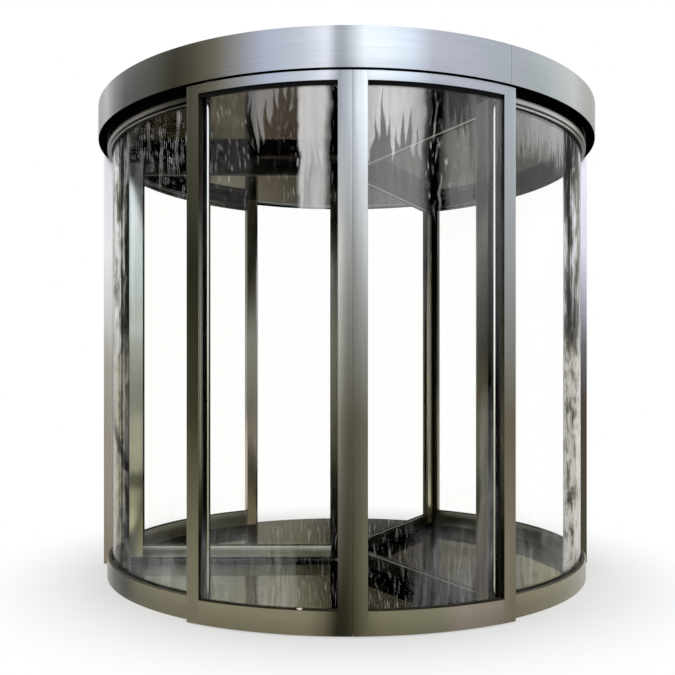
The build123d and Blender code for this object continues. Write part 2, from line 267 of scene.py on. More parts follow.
# %% Group: place on the drum
on_drum, _, place_out = new_group(
    "place on the drum", dict.fromkeys(("Arc", "Radius", "Height", "Side"), "Float"))
x, y, z = split(coordinates(on_drum))
radius = (x * x + y * y).math("SQRT")
(x.math("ARCTAN2", y * -1.0) * DRUM_R).to(place_out["Arc"])
radius.to(place_out["Radius"])
z.to(place_out["Height"])
(x / radius).math("ARCSINE").spread(-pi / 2, pi / 2).to(place_out["Side"])
print("group", on_drum.name)

# %% [markdown]
# ## Painted reflections on the satin steel
# The satin steel of the round door carries painted reflections in broad soft bands: cool and pale near the
# canopy, warm and olive near the ground, and dark where the door faces the trees at its left. The painted tone
# depends on the heading and on the height, so four ramps round the drum stand at four heights, and each point
# blends the two next to it.

# %% Group: painted steel reflections
def side_of(angle):
    """Place of a heading in degrees on the ramps."""
    return 0.5 + angle / 180


def tone_stops(rows, place_of):
    """Ramp stops from rows of a place and a screen color."""
    return [(place_of(place), paint(*color)) for place, *color in rows]


# heading in degrees, then red, green and blue of the painted reflection
CANOPY_REFLECTIONS = [
    (-90, 150, 148, 140), (-70, 120, 118, 108), (-66, 132, 128, 124), (-60, 172, 172, 171),
    (-55, 118, 118, 118),
    (-50, 78, 78, 78), (-41, 76, 76, 70), (-34, 56, 54, 44), (-30, 74, 72, 60), (-25, 102, 99, 87),
    (-20, 142, 143, 146), (-15, 174, 182, 200), (-9, 192, 200, 211), (-4.5, 222, 227, 238),
    (-2.6, 152, 158, 166),
    (-1.2, 160, 166, 174), (2, 222, 230, 238), (6, 217, 226, 237), (10, 202, 212, 225), (14, 174, 178, 190),
    (20, 177, 182, 194), (30, 168, 174, 181), (40, 161, 168, 170), (50, 170, 174, 172), (55, 150, 150, 147),
    (62, 136, 137, 130), (68, 128, 128, 118), (90, 150, 148, 140),
]
HEAD_REFLECTIONS = [
    (-90, 235, 236, 234), (-60, 220, 222, 220), (-36, 60, 60, 50), (-31, 38, 38, 27), (-26, 44, 44, 34),
    (-12, 150, 156, 160), (-4, 212, 213, 209), (-2.4, 208, 208, 203), (-1.7, 166, 167, 163),
    (-0.6, 138, 139, 136),
    (1, 150, 152, 150), (2.5, 180, 184, 183), (12, 176, 180, 184), (28, 152, 156, 156), (34, 140, 143, 142),
    (60, 170, 175, 174), (90, 180, 186, 186),
]
WAIST_REFLECTIONS = [
    (-90, 152, 150, 140), (-60, 140, 136, 122), (-34, 62, 60, 42), (-28, 58, 56, 38), (-12, 96, 93, 78),
    (-4, 140, 139, 124), (-2.4, 132, 131, 117), (-1.7, 104, 102, 89), (-1, 88, 85, 71), (0, 86, 83, 69),
    (2.5, 104, 101, 90), (12, 110, 106, 92), (28, 104, 97, 81), (34, 98, 92, 76), (60, 112, 104, 88),
    (90, 112, 104, 92),
]
GROUND_REFLECTIONS = [
    (-90, 128, 124, 106), (-66, 112, 108, 94), (-62, 44, 44, 32), (-54, 52, 50, 36), (-48, 110, 108, 86),
    (-40, 126, 121, 100), (-8, 130, 125, 102), (-5, 104, 98, 79), (-3, 50, 47, 35), (-1, 50, 47, 36),
    (0.4, 78, 74, 56), (2.4, 106, 103, 81), (5, 121, 117, 95), (15, 124, 122, 100), (20, 143, 134, 122),
    (26, 138, 129, 116), (31, 122, 115, 97), (36, 131, 125, 104), (50, 141, 136, 115), (62, 150, 147, 130),
    (90, 140, 136, 118),
]

# the group paints what the steel would mirror into its base color
steel_reflections, _, steel_reflections_out = new_group("painted steel reflections", {"Color": "Color"})
place = use_group(steel_reflections, on_drum)
at_ground, at_waist, at_head, at_canopy = [
    color_ramp(place["Side"], tone_stops(rows, side_of))
    for rows in (GROUND_REFLECTIONS, WAIST_REFLECTIONS, HEAD_REFLECTIONS, CANOPY_REFLECTIONS)
]
tone = blend_colors(place["Height"].spread(0.12, 0.85), at_ground, at_waist)
tone = blend_colors(place["Height"].spread(0.85, 1.5), tone, at_head)
blend_colors(place["Height"].spread(1.5, 2.1), tone, at_canopy).to(steel_reflections_out["Color"])
print("group", steel_reflections.name)

# %% [markdown]
# ## Brushed grain
# A satin finish is made with a belt, which leaves long fine scratches in one direction. Noise that is
# stretched along the scratches gives them. A fine set is for close views, and a wide faint set gives the
# streaks that still show from a few metres. The vector that comes in has its z along the brushing.

# %% Group: brushed grain
brushed, grain_in, grain_out = new_group(
    "brushed grain", {"Color": "Color", "Roughness": "Float", "Height": "Float"},
    {"Color": "Color", "Vector": "Vector", "Depth": "Float"},
)


def along_brushing(squeeze):
    """The incoming vector with its z squeezed, which draws noise out along z."""
    inputs = (grain_in["Vector"], (1, 1, squeeze))
    return level_from(brushed, "ShaderNodeVectorMath", inputs, operation="MULTIPLY")


fine = noise(along_brushing(0.012), 1400, detail=3, roughness=0.65)
wide = noise(along_brushing(0.02), 150, detail=4, roughness=0.7)
cloud = noise(grain_in["Vector"], 2.2, detail=3)
swing = (wide - 0.5) * 1.5 + (fine - 0.5)
scale_color(grain_in["Color"], swing * grain_in["Depth"] + 1.0).to(grain_out["Color"])
(fine * 0.16 + cloud * 0.14 + 0.17).to(grain_out["Roughness"])
(fine + wide * 0.6).to(grain_out["Height"])
print("group", brushed.name)

# %% [markdown]
# ## Painted reflections and shade on the smaller steel faces
# Faces that turn away from the street would mirror other things than the wide front faces, and this is painted
# into their base color. The returns of the leaf stiles, the side posts, the back posts and the wings each get
# ramps of painted reflection of their own by height. Where the left of the door would mirror something else
# than the right, a group holds one ramp for each zone. The far wing gets painted shade under the canopy, and
# every wing gets painted shade where its inner stile stands against the shaft. The wing stiles also carry one
# narrow painted shadow low down at the left. The header ring has a single ramp of painted reflection round the
# drum.

# %% Group: painted light by height
TONE_HEIGHT = 2.4


def painted_light_by_height(name, *zones):
    """Group with a height ramp of painted light for each zone round the drum, a zone being a first heading and
    then its rows.
    """
    group, _, outputs = new_group(name, {"Color": "Color"})
    place = use_group(group, on_drum)
    level = place["Height"].spread(0, TONE_HEIGHT)
    color = None
    for start, *rows in zones:
        tone = color_ramp(level, tone_stops(rows, lambda height: height / TONE_HEIGHT))
        if color is not None:
            inside = place["Side"].spread(side_of(start - 0.5), side_of(start + 0.5))
            tone = blend_colors(inside, color, tone)
        color = tone
    color.to(outputs["Color"])
    return group


# first heading of a zone, then height in metres with red, green and blue of painted light
RETURN_REFLECTIONS = painted_light_by_height(
    "painted return reflections",
    [-90, (0, 35, 32, 30), (0.36, 31, 27, 20), (0.46, 108, 106, 84), (0.75, 152, 148, 128),
     (1.14, 162, 160, 146),
     (1.4, 146, 146, 134), (1.75, 128, 122, 118), (2.1, 96, 92, 86), (2.4, 86, 82, 78)],
    [-15, (0, 38, 36, 35), (0.6, 52, 50, 42), (0.95, 92, 90, 76), (1.35, 98, 98, 92), (1.75, 30, 30, 28),
     (2.1, 9, 11, 13)],
    [15, (0, 21, 19, 17), (0.36, 24, 20, 15), (0.46, 84, 80, 64), (0.75, 86, 82, 67), (0.95, 75, 70, 58),
     (1.14, 52, 48, 40), (1.5, 50, 46, 40), (1.7, 76, 69, 65), (1.9, 66, 64, 61), (2.4, 56, 50, 48)],
)
SIDE_POST_REFLECTIONS = painted_light_by_height(
    "painted side post reflections",
    [-90, (0, 146, 136, 120), (0.7, 152, 146, 134), (1.1, 166, 162, 152), (1.4, 206, 206, 206),
     (1.7, 232, 231, 234), (2.4, 236, 233, 240)],
    [0, (0, 82, 78, 62), (0.5, 76, 69, 60), (0.9, 78, 68, 62), (1.2, 108, 106, 110), (1.45, 168, 168, 182),
     (1.75, 214, 214, 230), (2.4, 232, 232, 244)],
)
# wing stiles: painted reflections, with a narrow painted shadow from 0.43 to 0.47 m at the left
WING_REFLECTIONS_AND_SHADOW = painted_light_by_height(
    "painted wing stile reflections and shadow",
    [-90, (0, 190, 186, 156), (0.2, 226, 224, 186), (0.31, 162, 160, 130), (0.38, 150, 148, 120),
     (0.43, 94, 94, 78),
     (0.47, 94, 94, 78), (0.52, 152, 150, 128), (0.62, 161, 160, 137), (0.78, 158, 157, 140),
     (0.86, 136, 137, 124),
     (0.96, 136, 138, 126), (1.12, 152, 156, 147), (1.2, 166, 170, 161), (1.29, 192, 198, 190),
     (1.37, 184, 191, 181), (1.54, 198, 209, 206), (1.71, 220, 233, 231), (1.88, 238, 248, 250),
     (2.1, 240, 250, 254), (2.4, 226, 236, 240)],
    [-45, (0, 190, 182, 170), (0.28, 180, 170, 158), (0.41, 140, 132, 116), (0.54, 114, 112, 92),
     (0.71, 96, 93, 74),
     (0.93, 88, 83, 64), (1.14, 54, 51, 42), (1.35, 60, 60, 54), (1.53, 84, 85, 78), (1.7, 140, 144, 138),
     (1.83, 150, 156, 158), (1.95, 200, 208, 210), (2.1, 206, 214, 218)],
)
# painted shade on the far wing under the canopy
FAR_WING_SHADE = painted_light_by_height(
    "painted far wing shade",
    [-90, (0, 206, 196, 166), (0.18, 186, 178, 148), (0.38, 128, 122, 102), (0.75, 118, 116, 94),
     (1.15, 112, 106, 90), (1.5, 108, 104, 88), (1.75, 84, 80, 62), (1.95, 54, 52, 38), (2.4, 48, 46, 34)],
)
# painted shade where a wing's inner stile stands against the shaft
SHAFT_SIDE_SHADE = painted_light_by_height(
    "painted shade near the shaft",
    [-90, (0, 44, 42, 34), (0.23, 52, 49, 40), (0.56, 74, 72, 58), (0.9, 98, 96, 80), (1.25, 112, 112, 100),
     (1.68, 104, 106, 98), (1.9, 62, 62, 54), (2.1, 14, 14, 10), (2.4, 12, 12, 8)],
)
RAIL_REFLECTIONS = painted_light_by_height(
    "painted wing rail reflections",
    [-90, (0.3, 186, 188, 176), (2.0, 26, 23, 14)],
    [15, (0, 48, 46, 36), (0.3, 50, 48, 38), (2.0, 52, 50, 44), (2.4, 48, 46, 42)],
)
# painted highlight on the wing lips, bright high up at the right
LIP_HIGHLIGHT = painted_light_by_height(
    "painted lip highlight",
    [-90, (0.3, 96, 94, 82), (2.0, 84, 82, 70)],
    [15, (0.3, 120, 118, 106), (2.0, 196, 188, 178), (2.4, 190, 184, 176)],
)
BACK_POST_REFLECTIONS = painted_light_by_height(
    "painted back post reflections",
    [-90, (0.55, 176, 166, 148), (0.8, 130, 124, 110), (1.3, 136, 138, 126), (1.6, 104, 100, 86),
     (2.1, 84, 80, 62)],
    [0, (0, 120, 106, 90), (0.7, 104, 92, 78), (1.0, 50, 50, 38), (1.6, 32, 32, 20), (2.4, 40, 38, 26)],
)
# painted highlight of the nosing rods by height
ROD_HIGHLIGHT = painted_light_by_height(
    "painted nosing highlight",
    [-90, (0, 150, 152, 130), (0.4, 138, 138, 116), (0.72, 150, 150, 128), (0.95, 168, 168, 152),
     (1.15, 196, 196, 184), (1.4, 212, 215, 208), (1.7, 236, 242, 240), (2.1, 248, 252, 254),
     (2.4, 240, 248, 254)],
    [0, (0, 172, 170, 150), (0.4, 150, 149, 132), (0.72, 182, 180, 168), (0.95, 216, 215, 204),
     (1.15, 246, 246, 238), (1.4, 252, 252, 250), (2.4, 252, 254, 255)],
)

# heading in degrees, then red, green and blue of the painted reflection on the header
HEADER_REFLECTIONS = [
    (-90, 92, 92, 86), (-56, 104, 104, 98), (-46, 106, 103, 94), (-38, 66, 64, 56), (-33, 48, 47, 42),
    (33, 164, 166, 166), (46, 176, 178, 176), (54, 170, 170, 164), (60, 96, 96, 88), (68, 64, 64, 54),
    (90, 76, 76, 66),
]
header_reflections, _, header_reflections_out = new_group("painted header reflections", {"Color": "Color"})
place = use_group(header_reflections, on_drum)
color_ramp(place["Side"], tone_stops(HEADER_REFLECTIONS, side_of)).to(header_reflections_out["Color"])
print("tone groups", [group.name for group in bpy.data.node_groups])

# %% [markdown]
# ## Satin steel
# Stainless steel is a metal, and here its base color carries a painted reflection: the tone of what it would
# mirror. The grain group darkens and lightens that tone by a few percent and lifts the surface by hundredths of
# a millimetre, which draws every reflection out across the scratches.

# %% Satin steel materials
GRAIN_ORDERS = {
    "round": ("Height", "Radius", "Arc"),
    "upright": ("Arc", "Radius", "Height"),
    "outward": ("Arc", "Height", "Radius"),
}
GRAIN_LIFT = 0.03 * MM


def satin_steel(name, grain, tones=steel_reflections, depth=0.34):
    """Brushed steel whose base color is painted light from a group, or one screen color."""
    material, tree, sockets = new_material(name, Metallic=1.0)
    place = use_group(tree, on_drum)
    order = level_from(tree, "ShaderNodeCombineXYZ", [place[key] for key in GRAIN_ORDERS[grain]])
    color = paint(*tones) if isinstance(tones, tuple) else use_group(tree, tones)["Color"]
    grained = use_group(tree, brushed, {"Color": color, "Vector": order, "Depth": depth})
    grained["Color"].to(sockets["Base Color"])
    grained["Roughness"].to(sockets["Roughness"])
    bump(grained["Height"], GRAIN_LIFT).to(sockets["Normal"])
    return material


# the groups below put painted reflections and painted shade into the steel's base color
STEEL_ROUND = satin_steel("satin steel brushed round", "round", depth=0.22)
STEEL_UPRIGHT = satin_steel("satin steel brushed upright", "upright")
STEEL_RETURN = satin_steel("satin steel of the returns", "upright", RETURN_REFLECTIONS)
STEEL_HEADER = satin_steel("satin steel of the header", "round", header_reflections)
STEEL_SIDE_POST = satin_steel("satin steel of the side posts", "upright", SIDE_POST_REFLECTIONS)
STEEL_INSIDE = satin_steel("satin steel inside the drum", "round", (112, 110, 98))
STEEL_BACK_POST = satin_steel("satin steel of the back posts", "upright", BACK_POST_REFLECTIONS)
WING_UPRIGHT = satin_steel("wing steel upright", "upright", WING_REFLECTIONS_AND_SHADOW)
WING_FAR = satin_steel("far wing steel with painted shade", "upright", FAR_WING_SHADE)
NEAR_SHAFT = satin_steel("wing steel with painted shade near the shaft", "upright", SHAFT_SIDE_SHADE)
WING_LEVEL = satin_steel("wing steel level", "outward", RAIL_REFLECTIONS)
# the lip's brightness is a painted highlight
LIP_STEEL = satin_steel("lip steel with painted highlight", "outward", LIP_HIGHLIGHT, depth=0.15)
CATCH_STEEL = satin_steel("bright catch steel", "round", (244, 240, 226), depth=0.1)
BEARING = satin_steel("machined bearing steel", "round", (150, 150, 148), depth=0.2)
print("steels", [material.name for material in bpy.data.materials])

# %% [markdown]
# ## Polished nosing with a painted highlight line
# A round polished rod mirrors the bright street in one narrow line and the dark reveals at its flanks. Here
# the line and the dark flanks are painted into the base color: the angle between the normal and a fixed
# direction toward the street tells the two apart, so the painted line is placed with the normal.

# %% Polished nosing material
POLISHED, tree, sockets = new_material("polished nosing steel with painted line", Metallic=1.0, Roughness=0.14)
across, back, _ = split(coordinates(tree, "Normal"))
street_x = use_group(tree, on_drum)["Side"].spread(0.45, 0.55, -0.25, 0.30)
highlight_facing = abs(across * street_x + back * -0.96)
rod_highlight_color = use_group(tree, ROD_HIGHLIGHT)["Color"]
# painted bright line with painted dark flanks
blend_colors(highlight_facing.spread(0.64, 0.84), paint(30, 29, 25), rod_highlight_color).to(sockets["Base Color"])
print("rod", POLISHED.name)

# %% [markdown]
# ## Reflections painted on the glass
# Bent glass is never quite true, so what it mirrors is drawn out into tall wavering streaks: a pale sky
# above a ragged line of trees, bright gaps between trunks, and the pale ground. These reflections are painted as
# a mask of how strongly the pane mirrors the white surround at each place, so they show over what is dark and
# vanish over what is white. Ramps round the drum say what each heading carries, and noise that is squeezed
# round the ring and stretched upward breaks the ramps into streaks.

# %% Levels round the drum
def level_stops(*rows):
    """Ramp stops from headings and four levels from 0 to 1."""
    return [(side_of(heading), four) for heading, *four in rows]


# heading, then for the painted reflection: sky, height of the tree tops above TREE_LINE, bright hairs, haze
# below the tops
SKY_LEVELS = level_stops(
    (-33.5, 0, 0.90, 0.85, 0), (-32.5, 0, 0.90, 0, 0), (-27.6, 0, 0.90, 0, 0), (-27, 0.03, 0.90, 0.48, 0.03),
    (-18.9, 0.03, 0.90, 0.48, 0.03), (-18.2, 0.26, 0.58, 0.20, 0), (-16.6, 0.26, 0.46, 0.10, 0),
    (-14.4, 0.26, 0.61, 0.10, 0), (-11.2, 0.22, 0.72, 0.30, 0), (-9.8, 0.03, 0.60, 0.60, 0),
    (-9.3, 0.92, 0.20, 0.10, 0.50), (-7.2, 1.00, 0.42, 0.10, 0.72), (-4.9, 1.00, 0.38, 0.10, 0.74),
    (-4.4, 0.40, 0.20, 0.50, 0.20), (-3.8, 0, 0.40, 0.40, 0), (-1.5, 0, 0.40, 0.20, 0),
    (2.6, 0.72, 0.40, 0.20, 0.22), (5.0, 0.92, 0.60, 0.20, 0.24), (7.2, 0.86, 0.42, 0.20, 0.25),
    (9.0, 0.76, 0.54, 0.20, 0.24), (11.8, 0.55, 0.42, 0.25, 0.22), (12.9, 0.30, 0.45, 0.70, 0.14),
    (13.6, 0, 0.90, 0.90, 0), (16.4, 0, 0.90, 0.80, 0), (17.6, 0.07, 0.58, 0.60, 0.18),
    (21.0, 0.07, 0.55, 0.50, 0.22), (22.6, 0.22, 0.30, 0.25, 0.22), (23.4, 0.12, 0.30, 0.15, 0.12),
    (31.0, 0.30, 0.50, 0.10, 0.10), (41.0, 0.44, 0.54, 0.10, 0.10), (50, 0.52, 0.52, 0.20, 0.10),
    (90, 0.2, 0.6, 0.6, 0.05),
)
# heading, then for the painted reflection: pale ground low down, share of the woods at the sides, height where
# the ground starts, hairs over the floor
GROUND_LEVELS = level_stops(
    (-90, 0.20, 0, 0.3, 0), (-81, 0.30, 0, 0.3, 0), (-77, 0.50, 1, 0.3, 0), (-55.6, 0.50, 1, 0.3, 0),
    (-55.1, 0.22, 0, 0.36, 0), (-49.2, 0.20, 0, 0.34, 0), (-33, 0.17, 0, 0.34, 0), (-27, 0.12, 0, 0.46, 0),
    (-10.5, 0.11, 0, 0.44, 0.14), (-10, 0, 0, 0.40, 0.14), (9.5, 0, 0, 0.46, 0.18), (12.0, 0.09, 0, 0.46, 0),
    (23, 0.16, 0, 0.46, 0), (24, 0.10, 0, 1, 0), (26.3, 0.10, 0, 1, 0), (26.9, 0, 0, 1, 0),
    (28.8, 0, 0, 1, 0),
    (30, 0.14, 0, 0.40, 0), (52.4, 0.17, 0, 0.40, 0), (52.8, 0.50, 1, 0.3, 0), (77, 0.50, 1, 0.3, 0),
    (81, 0.30, 0, 0.3, 0), (90, 0.20, 0, 0.3, 0),
)
print("ramp stops", len(SKY_LEVELS), len(GROUND_LEVELS))

# %% Group: wavering place
WAVER = 0.085
wavering, _, waver_out = new_group(
    "wavering place", dict.fromkeys(("Across", "Side", "Height", "Fixed"), "Float"))
place = use_group(wavering, on_drum)
arc_spot = level_from(wavering, "ShaderNodeCombineXYZ", (place["Arc"], 0, place["Height"] * 0.7))
shift = (noise(arc_spot, 4.2, detail=3, roughness=0.6) - 0.5) * WAVER
(place["Arc"] + shift).to(waver_out["Across"])
(place["Side"] + shift * (1 / (pi * DRUM_R))).to(waver_out["Side"])
place["Height"].to(waver_out["Height"])
place["Side"].to(waver_out["Fixed"])
print("group", wavering.name)

# %% Group: painted street reflection in the glass
TREE_LINE = 1.45
TOOTH, TOOTH_HEIGHT = 0.015, 0.13


def stretched(place, squeeze, scale, seed, detail=3, roughness=0.6):
    """Noise drawn out upward: a squeeze of 0.1 makes a streak ten times as tall as it is wide."""
    tree = place["Height"].tree
    spot = level_from(tree, "ShaderNodeCombineXYZ", (place["Across"], seed, place["Height"] * squeeze))
    return noise(spot, scale, detail=detail, roughness=roughness)


# the group paints where the glass mirrors the street
street, _, street_out = new_group("painted street reflection in the glass", {"Bright": "Float"})
place = use_group(street, wavering)
height = place["Height"]
sky, tops, hairy, haze = four_levels(place["Side"], SKY_LEVELS)
ground, _, start, low_hairs = four_levels(place["Side"], GROUND_LEVELS)
bands = stretched(place, 0.07, 26, 0, detail=5)
spikes = stretched(place, 0, 24, 7, detail=5, roughness=0.75)
fine_hairs = stretched(place, 0.09, 150, 3, detail=1)
long_hairs = stretched(place, 0.07, 62, 11, detail=2, roughness=0.5)
patchy = stretched(place, 0.5, 7, 19)
streaks = stretched(place, 0.06, 75, 29)
soft = bands.spread(0.3, 0.7, 0.72, 1.2)

fir_tops = ((place["Across"] + spikes * 0.05).math("PINGPONG", TOOTH) / TOOTH).math("POWER", 1.8) * TOOTH_HEIGHT
top_height = tops + fir_tops + spikes * 0.34 + (TREE_LINE - 0.17)
above = (height - top_height).spread(-0.012, 0.018)
sky_part = ((sky - haze) * above + haze) * soft * height.spread(1.0, 1.75)

thin = fine_hairs.spread(0.63, 0.72)
wide = long_hairs.spread(0.60, 0.70) * hairy.spread(0.6, 0.95, 0.12, 0.75)
hair_part = thin.most(wide) * hairy * height.spread(1.45, 1.9, 0, 0.95)
low_part = low_hairs * fine_hairs.spread(0.56, 0.70) * height.spread(0.62, 0.5)

near_ground = (start - height - patchy * 0.3).spread(-0.15, 0.03)
uneven = patchy.spread(0.3, 0.7, 1.35, 0.6) * streaks.spread(0.36, 0.66, 0.45, 1.7)
ground_part = ground * near_ground * uneven * soft
sky_part.most(hair_part).most(low_part).most(ground_part, clamp=True).to(street_out["Bright"])
print("group", street.name)

# %% [markdown]
# ## Painted woods at the sides
# Near the side posts the glass is seen almost edge on and mirrors everything: dark woods with bright sky
# between the trunks, and below them the sunlit ground with one long shadow. This reflection is painted, and
# here the painted picture is a color as well, so the pane is tinted with it and mirrors most where it is pale.
# Light crosses two faces of the pane, so each face carries the square root of the tint.

# %% Group: painted woods reflection at the sides
woods, _, woods_out = new_group("painted woods reflection at the sides", {"Color": "Color", "Share": "Float", "Bright": "Float"})
place = use_group(woods, wavering)
height, side = place["Height"], place["Fixed"]


def by_side(left, right):
    """One level at the left of the door and another at the right."""
    return side.spread(0.4, 0.6, left, right)


trunks = stretched(place, 0.20, 14, 5)
twigs = stretched(place, 0.24, 27, 23, detail=2)
mottle = stretched(place, 0.50, 15, 9, detail=4, roughness=0.7)
toward_left = side.spread(side_of(-57), side_of(-72), -0.035, 0.06)
toward_right = side.spread(side_of(55), side_of(74), -0.035, 0.03)
tall = color_ramp(trunks * 0.55 + twigs * 0.45 + by_side(toward_left, toward_right), tone_stops([
    (0, 8, 8, 5), (0.452, 16, 16, 10), (0.476, 50, 50, 32), (0.496, 118, 116, 84), (0.515, 204, 206, 192),
    (0.54, 252, 253, 252), (1, 255, 255, 255),
], float))
sunlit = color_ramp(mottle, tone_stops([
    (0, 30, 32, 16), (0.38, 62, 62, 34), (0.44, 124, 118, 80), (0.48, 200, 190, 146), (0.53, 246, 240, 206),
    (1, 255, 254, 238),
], float))
outer_edge = abs(side - 0.5).spread(60 / 180, 73 / 180, 0, 0.8)
edge_lit = blend_colors(outer_edge, sunlit, paint(252, 250, 234))
warm = blend_colors(by_side(0, 0.45), edge_lit, paint(255, 226, 176), "MULTIPLY")
# painted shadow line in the painted reflection of the ground
shadow_height = side * -2.8125 + mottle * 0.16 + 1.0425
shadow = abs(height - shadow_height).spread(0.05, 0.03) * side.spread(0.3, 0.28)
grounded = blend_colors(shadow, warm, paint(40, 38, 26))
low_share = (height + mottle * 0.7).spread(1.56, 1.48)
picture = blend_colors(low_share, tall, grounded)
level_from(woods, "ShaderNodeGamma", (picture, 0.5)).to(woods_out["Color"])
four_levels(side, GROUND_LEVELS)[1].to(woods_out["Share"])
gloss_high, gloss_low = by_side(0.44, 0.27), by_side(0.14, 1.1)
gloss = low_share * (gloss_low - gloss_high) + gloss_high
luminance = level_from(woods, "ShaderNodeRGBToBW", (picture,))
luminance.math("MULTIPLY", gloss, clamp=True).to(woods_out["Bright"])
print("group", woods.name)

# %% [markdown]
# ## Glass
# Clear glass is a transmitting shader. Its own gloss is kept low, because the coat above it carries the painted
# reflection of the street, and a strong even gloss would lay a grey veil over everything dark behind the pane.
# The back panes and the flat wing panes are seen through the front ones, so they stay nearly bare.

# %% Glass materials
CLEAR = paint(255, 255, 254)
BARE_GLASS = {"Transmission_Weight": 1.0, "IOR": 1.03, "Roughness": 0.0}


def curved_glass(name, bright, sides):
    """Bent pane with painted drawn-out reflections."""
    material, tree, sockets = new_material(
        name, Base_Color=CLEAR, Coat_IOR=4.0, Coat_Roughness=0.02, **BARE_GLASS)
    seen = use_group(tree, street)["Bright"] * bright
    if not sides:
        seen.to(sockets["Coat Weight"])
        return material
    forest = use_group(tree, woods)
    slant = level_from(tree, "ShaderNodeLayerWeight", (0.5,), output="Facing")
    share = forest["Share"] * slant.spread(0.58, 0.64)
    blend_colors(share, CLEAR, forest["Color"]).to(sockets["Base Color"])
    share.spread(0, 1, seen, forest["Bright"]).to(sockets["Coat Weight"])
    return material


FRONT_GLASS = curved_glass("bent front glass", 1.0, sides=True)
BACK_GLASS = curved_glass("bent back glass", 0.12, sides=False)
LEAF_GLASS = curved_glass("bent leaf glass", 1.0, sides=False)
FLAT_GLASS = new_material("flat wing glass", Base_Color=paint(254, 255, 254), **BARE_GLASS)[0]
print("glass ready")

# %% Dark materials
def dark_finish(name, tone, roughness, gloss=0.5, scale=40, depth=0.25):
    """Rubber, paint or stone with a little mottling."""
    material, tree, sockets = new_material(name, Specular_IOR_Level=gloss)
    spot = coordinates(tree)
    mottle = noise(spot, scale, detail=4)
    scale_color(paint(*tone)[:3], (mottle - 0.5) * depth + 1.0).to(sockets["Base Color"])
    (mottle * 0.12 + (roughness - 0.06)).to(sockets["Roughness"])
    bump(noise(spot, scale * 30), 0.05 * MM).to(sockets["Normal"])
    return material


RUBBER = dark_finish("black glazing rubber", (13, 13, 14), 0.55, gloss=0.05)
BRISTLE = dark_finish("black brush bristle", (11, 11, 10), 0.7, gloss=0.0)
# black coat of the soffit, also used as painted shade in the header recess
BLACK_COAT_AND_SHADE = dark_finish("black soffit coat and painted shade", (5, 5, 6), 0.6, gloss=0.0)
# an even olive-brown gasket
GASKET = dark_finish("olive-brown gasket", (52, 48, 38), 0.6, gloss=0.05)
BEAD_GREY = dark_finish("grey sill bead", (84, 81, 66), 0.5, gloss=0.1)
CANOPY_GREY = dark_finish("canopy primer", (132, 133, 134), 0.55, scale=6, depth=0.15)
print("materials", len(bpy.data.materials))

# %% [markdown]
# ## Mirror-dark ceiling and floor
# The ceiling is a dark brown gloss panel and the floor is dark polished stone. Seen at a low angle both
# mirror what stands on the far side of the door. A dark metal with a dim edge tint does that without the
# white glare that an ordinary varnish gives at such an angle. Neither is even: two ramps from left to
# right, one for the front half and one for the back half, carry painted reflections and say how much each
# place gives back. No stop is much darker than 80, since below that the edge tint turns black and gold at a
# low angle.

# %% Ceiling and floor materials
HALF_SPAN = 1.3


def mirror_dark(name, front, back, edge, roughness):
    """Dark mirror-like finish with painted reflections and a slight cloudiness."""
    material, tree, sockets = new_material(name, Metallic=1.0, Specular_Tint=(*edge, 1))
    spot = coordinates(tree)
    cloud = noise(spot, 2.6)
    x, y, _ = split(spot)
    across = (x + cloud * 0.3 - 0.15).spread(-HALF_SPAN, HALF_SPAN)
    painted_reflection_halves = [
        color_ramp(across, tone_stops(rows, lambda x: 0.5 + x / (2 * HALF_SPAN))) for rows in (front, back)]
    # painted reflections of the far side of the door, for the front and the back half
    tone = blend_colors(y.spread(0.15, 0.5), *painted_reflection_halves)
    scale_color(tone, cloud.spread(0.3, 0.7, 0.85, 1.15)).to(sockets["Base Color"])
    (cloud * 0.04 + (roughness - 0.02)).to(sockets["Roughness"])
    return material


# distance to the right of the axis in metres, then red, green and blue of the painted reflection
CEILING_DARK = mirror_dark(
    "dark ceiling gloss with painted reflections",
    [(-1.3, 84, 83, 78), (-0.8, 83, 82, 77), (-0.72, 88, 86, 80), (-0.6, 112, 108, 95),
     (-0.48, 120, 114, 103),
     (-0.4, 112, 105, 98), (-0.15, 98, 93, 87), (0.4, 110, 110, 106), (0.52, 102, 102, 100),
     (0.7, 110, 111, 107),
     (1.3, 98, 98, 92)],
    [(-1.3, 74, 73, 64), (-0.9, 95, 93, 80), (-0.76, 165, 161, 140), (-0.5, 136, 129, 112),
     (-0.2, 100, 96, 88),
     (0.3, 108, 110, 108), (0.7, 118, 118, 112), (1.3, 130, 132, 124)],
    (0.30, 0.295, 0.29), 0.05)
FLOOR_DARK = mirror_dark(
    "dark polished stone with painted reflections",
    [(-1.3, 184, 186, 172), (-0.65, 176, 178, 164), (-0.3, 182, 178, 160), (-0.15, 132, 128, 116),
     (0.15, 114, 112, 108), (0.4, 116, 113, 107), (0.6, 122, 119, 109), (0.85, 150, 146, 128),
     (1.05, 188, 185, 155), (1.3, 184, 182, 152)],
    [(-1.3, 150, 150, 136), (-0.85, 150, 148, 136), (-0.6, 180, 176, 158), (-0.3, 178, 172, 148),
     (-0.05, 96, 94, 84), (0.25, 90, 91, 93), (0.52, 126, 123, 108), (0.8, 188, 184, 166),
     (1.3, 160, 156, 134)],
    (0.24, 0.238, 0.23), 0.06)
print("mirror-dark finishes ready")

# %% [markdown]
# ## Shape helpers
# Nearly every member of a round door is a section carried round the axis. The helper draws the section once
# and spins it, then rounds its edges a little, because no folded sheet or extrusion has a knife edge. Flat
# members come from a merged copy of their CAD node with the same small rounding.

# %% Shape helpers
def mesh_from(name, shape):
    """Mesh that takes over a shape."""
    mesh = bpy.data.meshes.new(name)
    shape.to_mesh(mesh)
    shape.free()
    return mesh


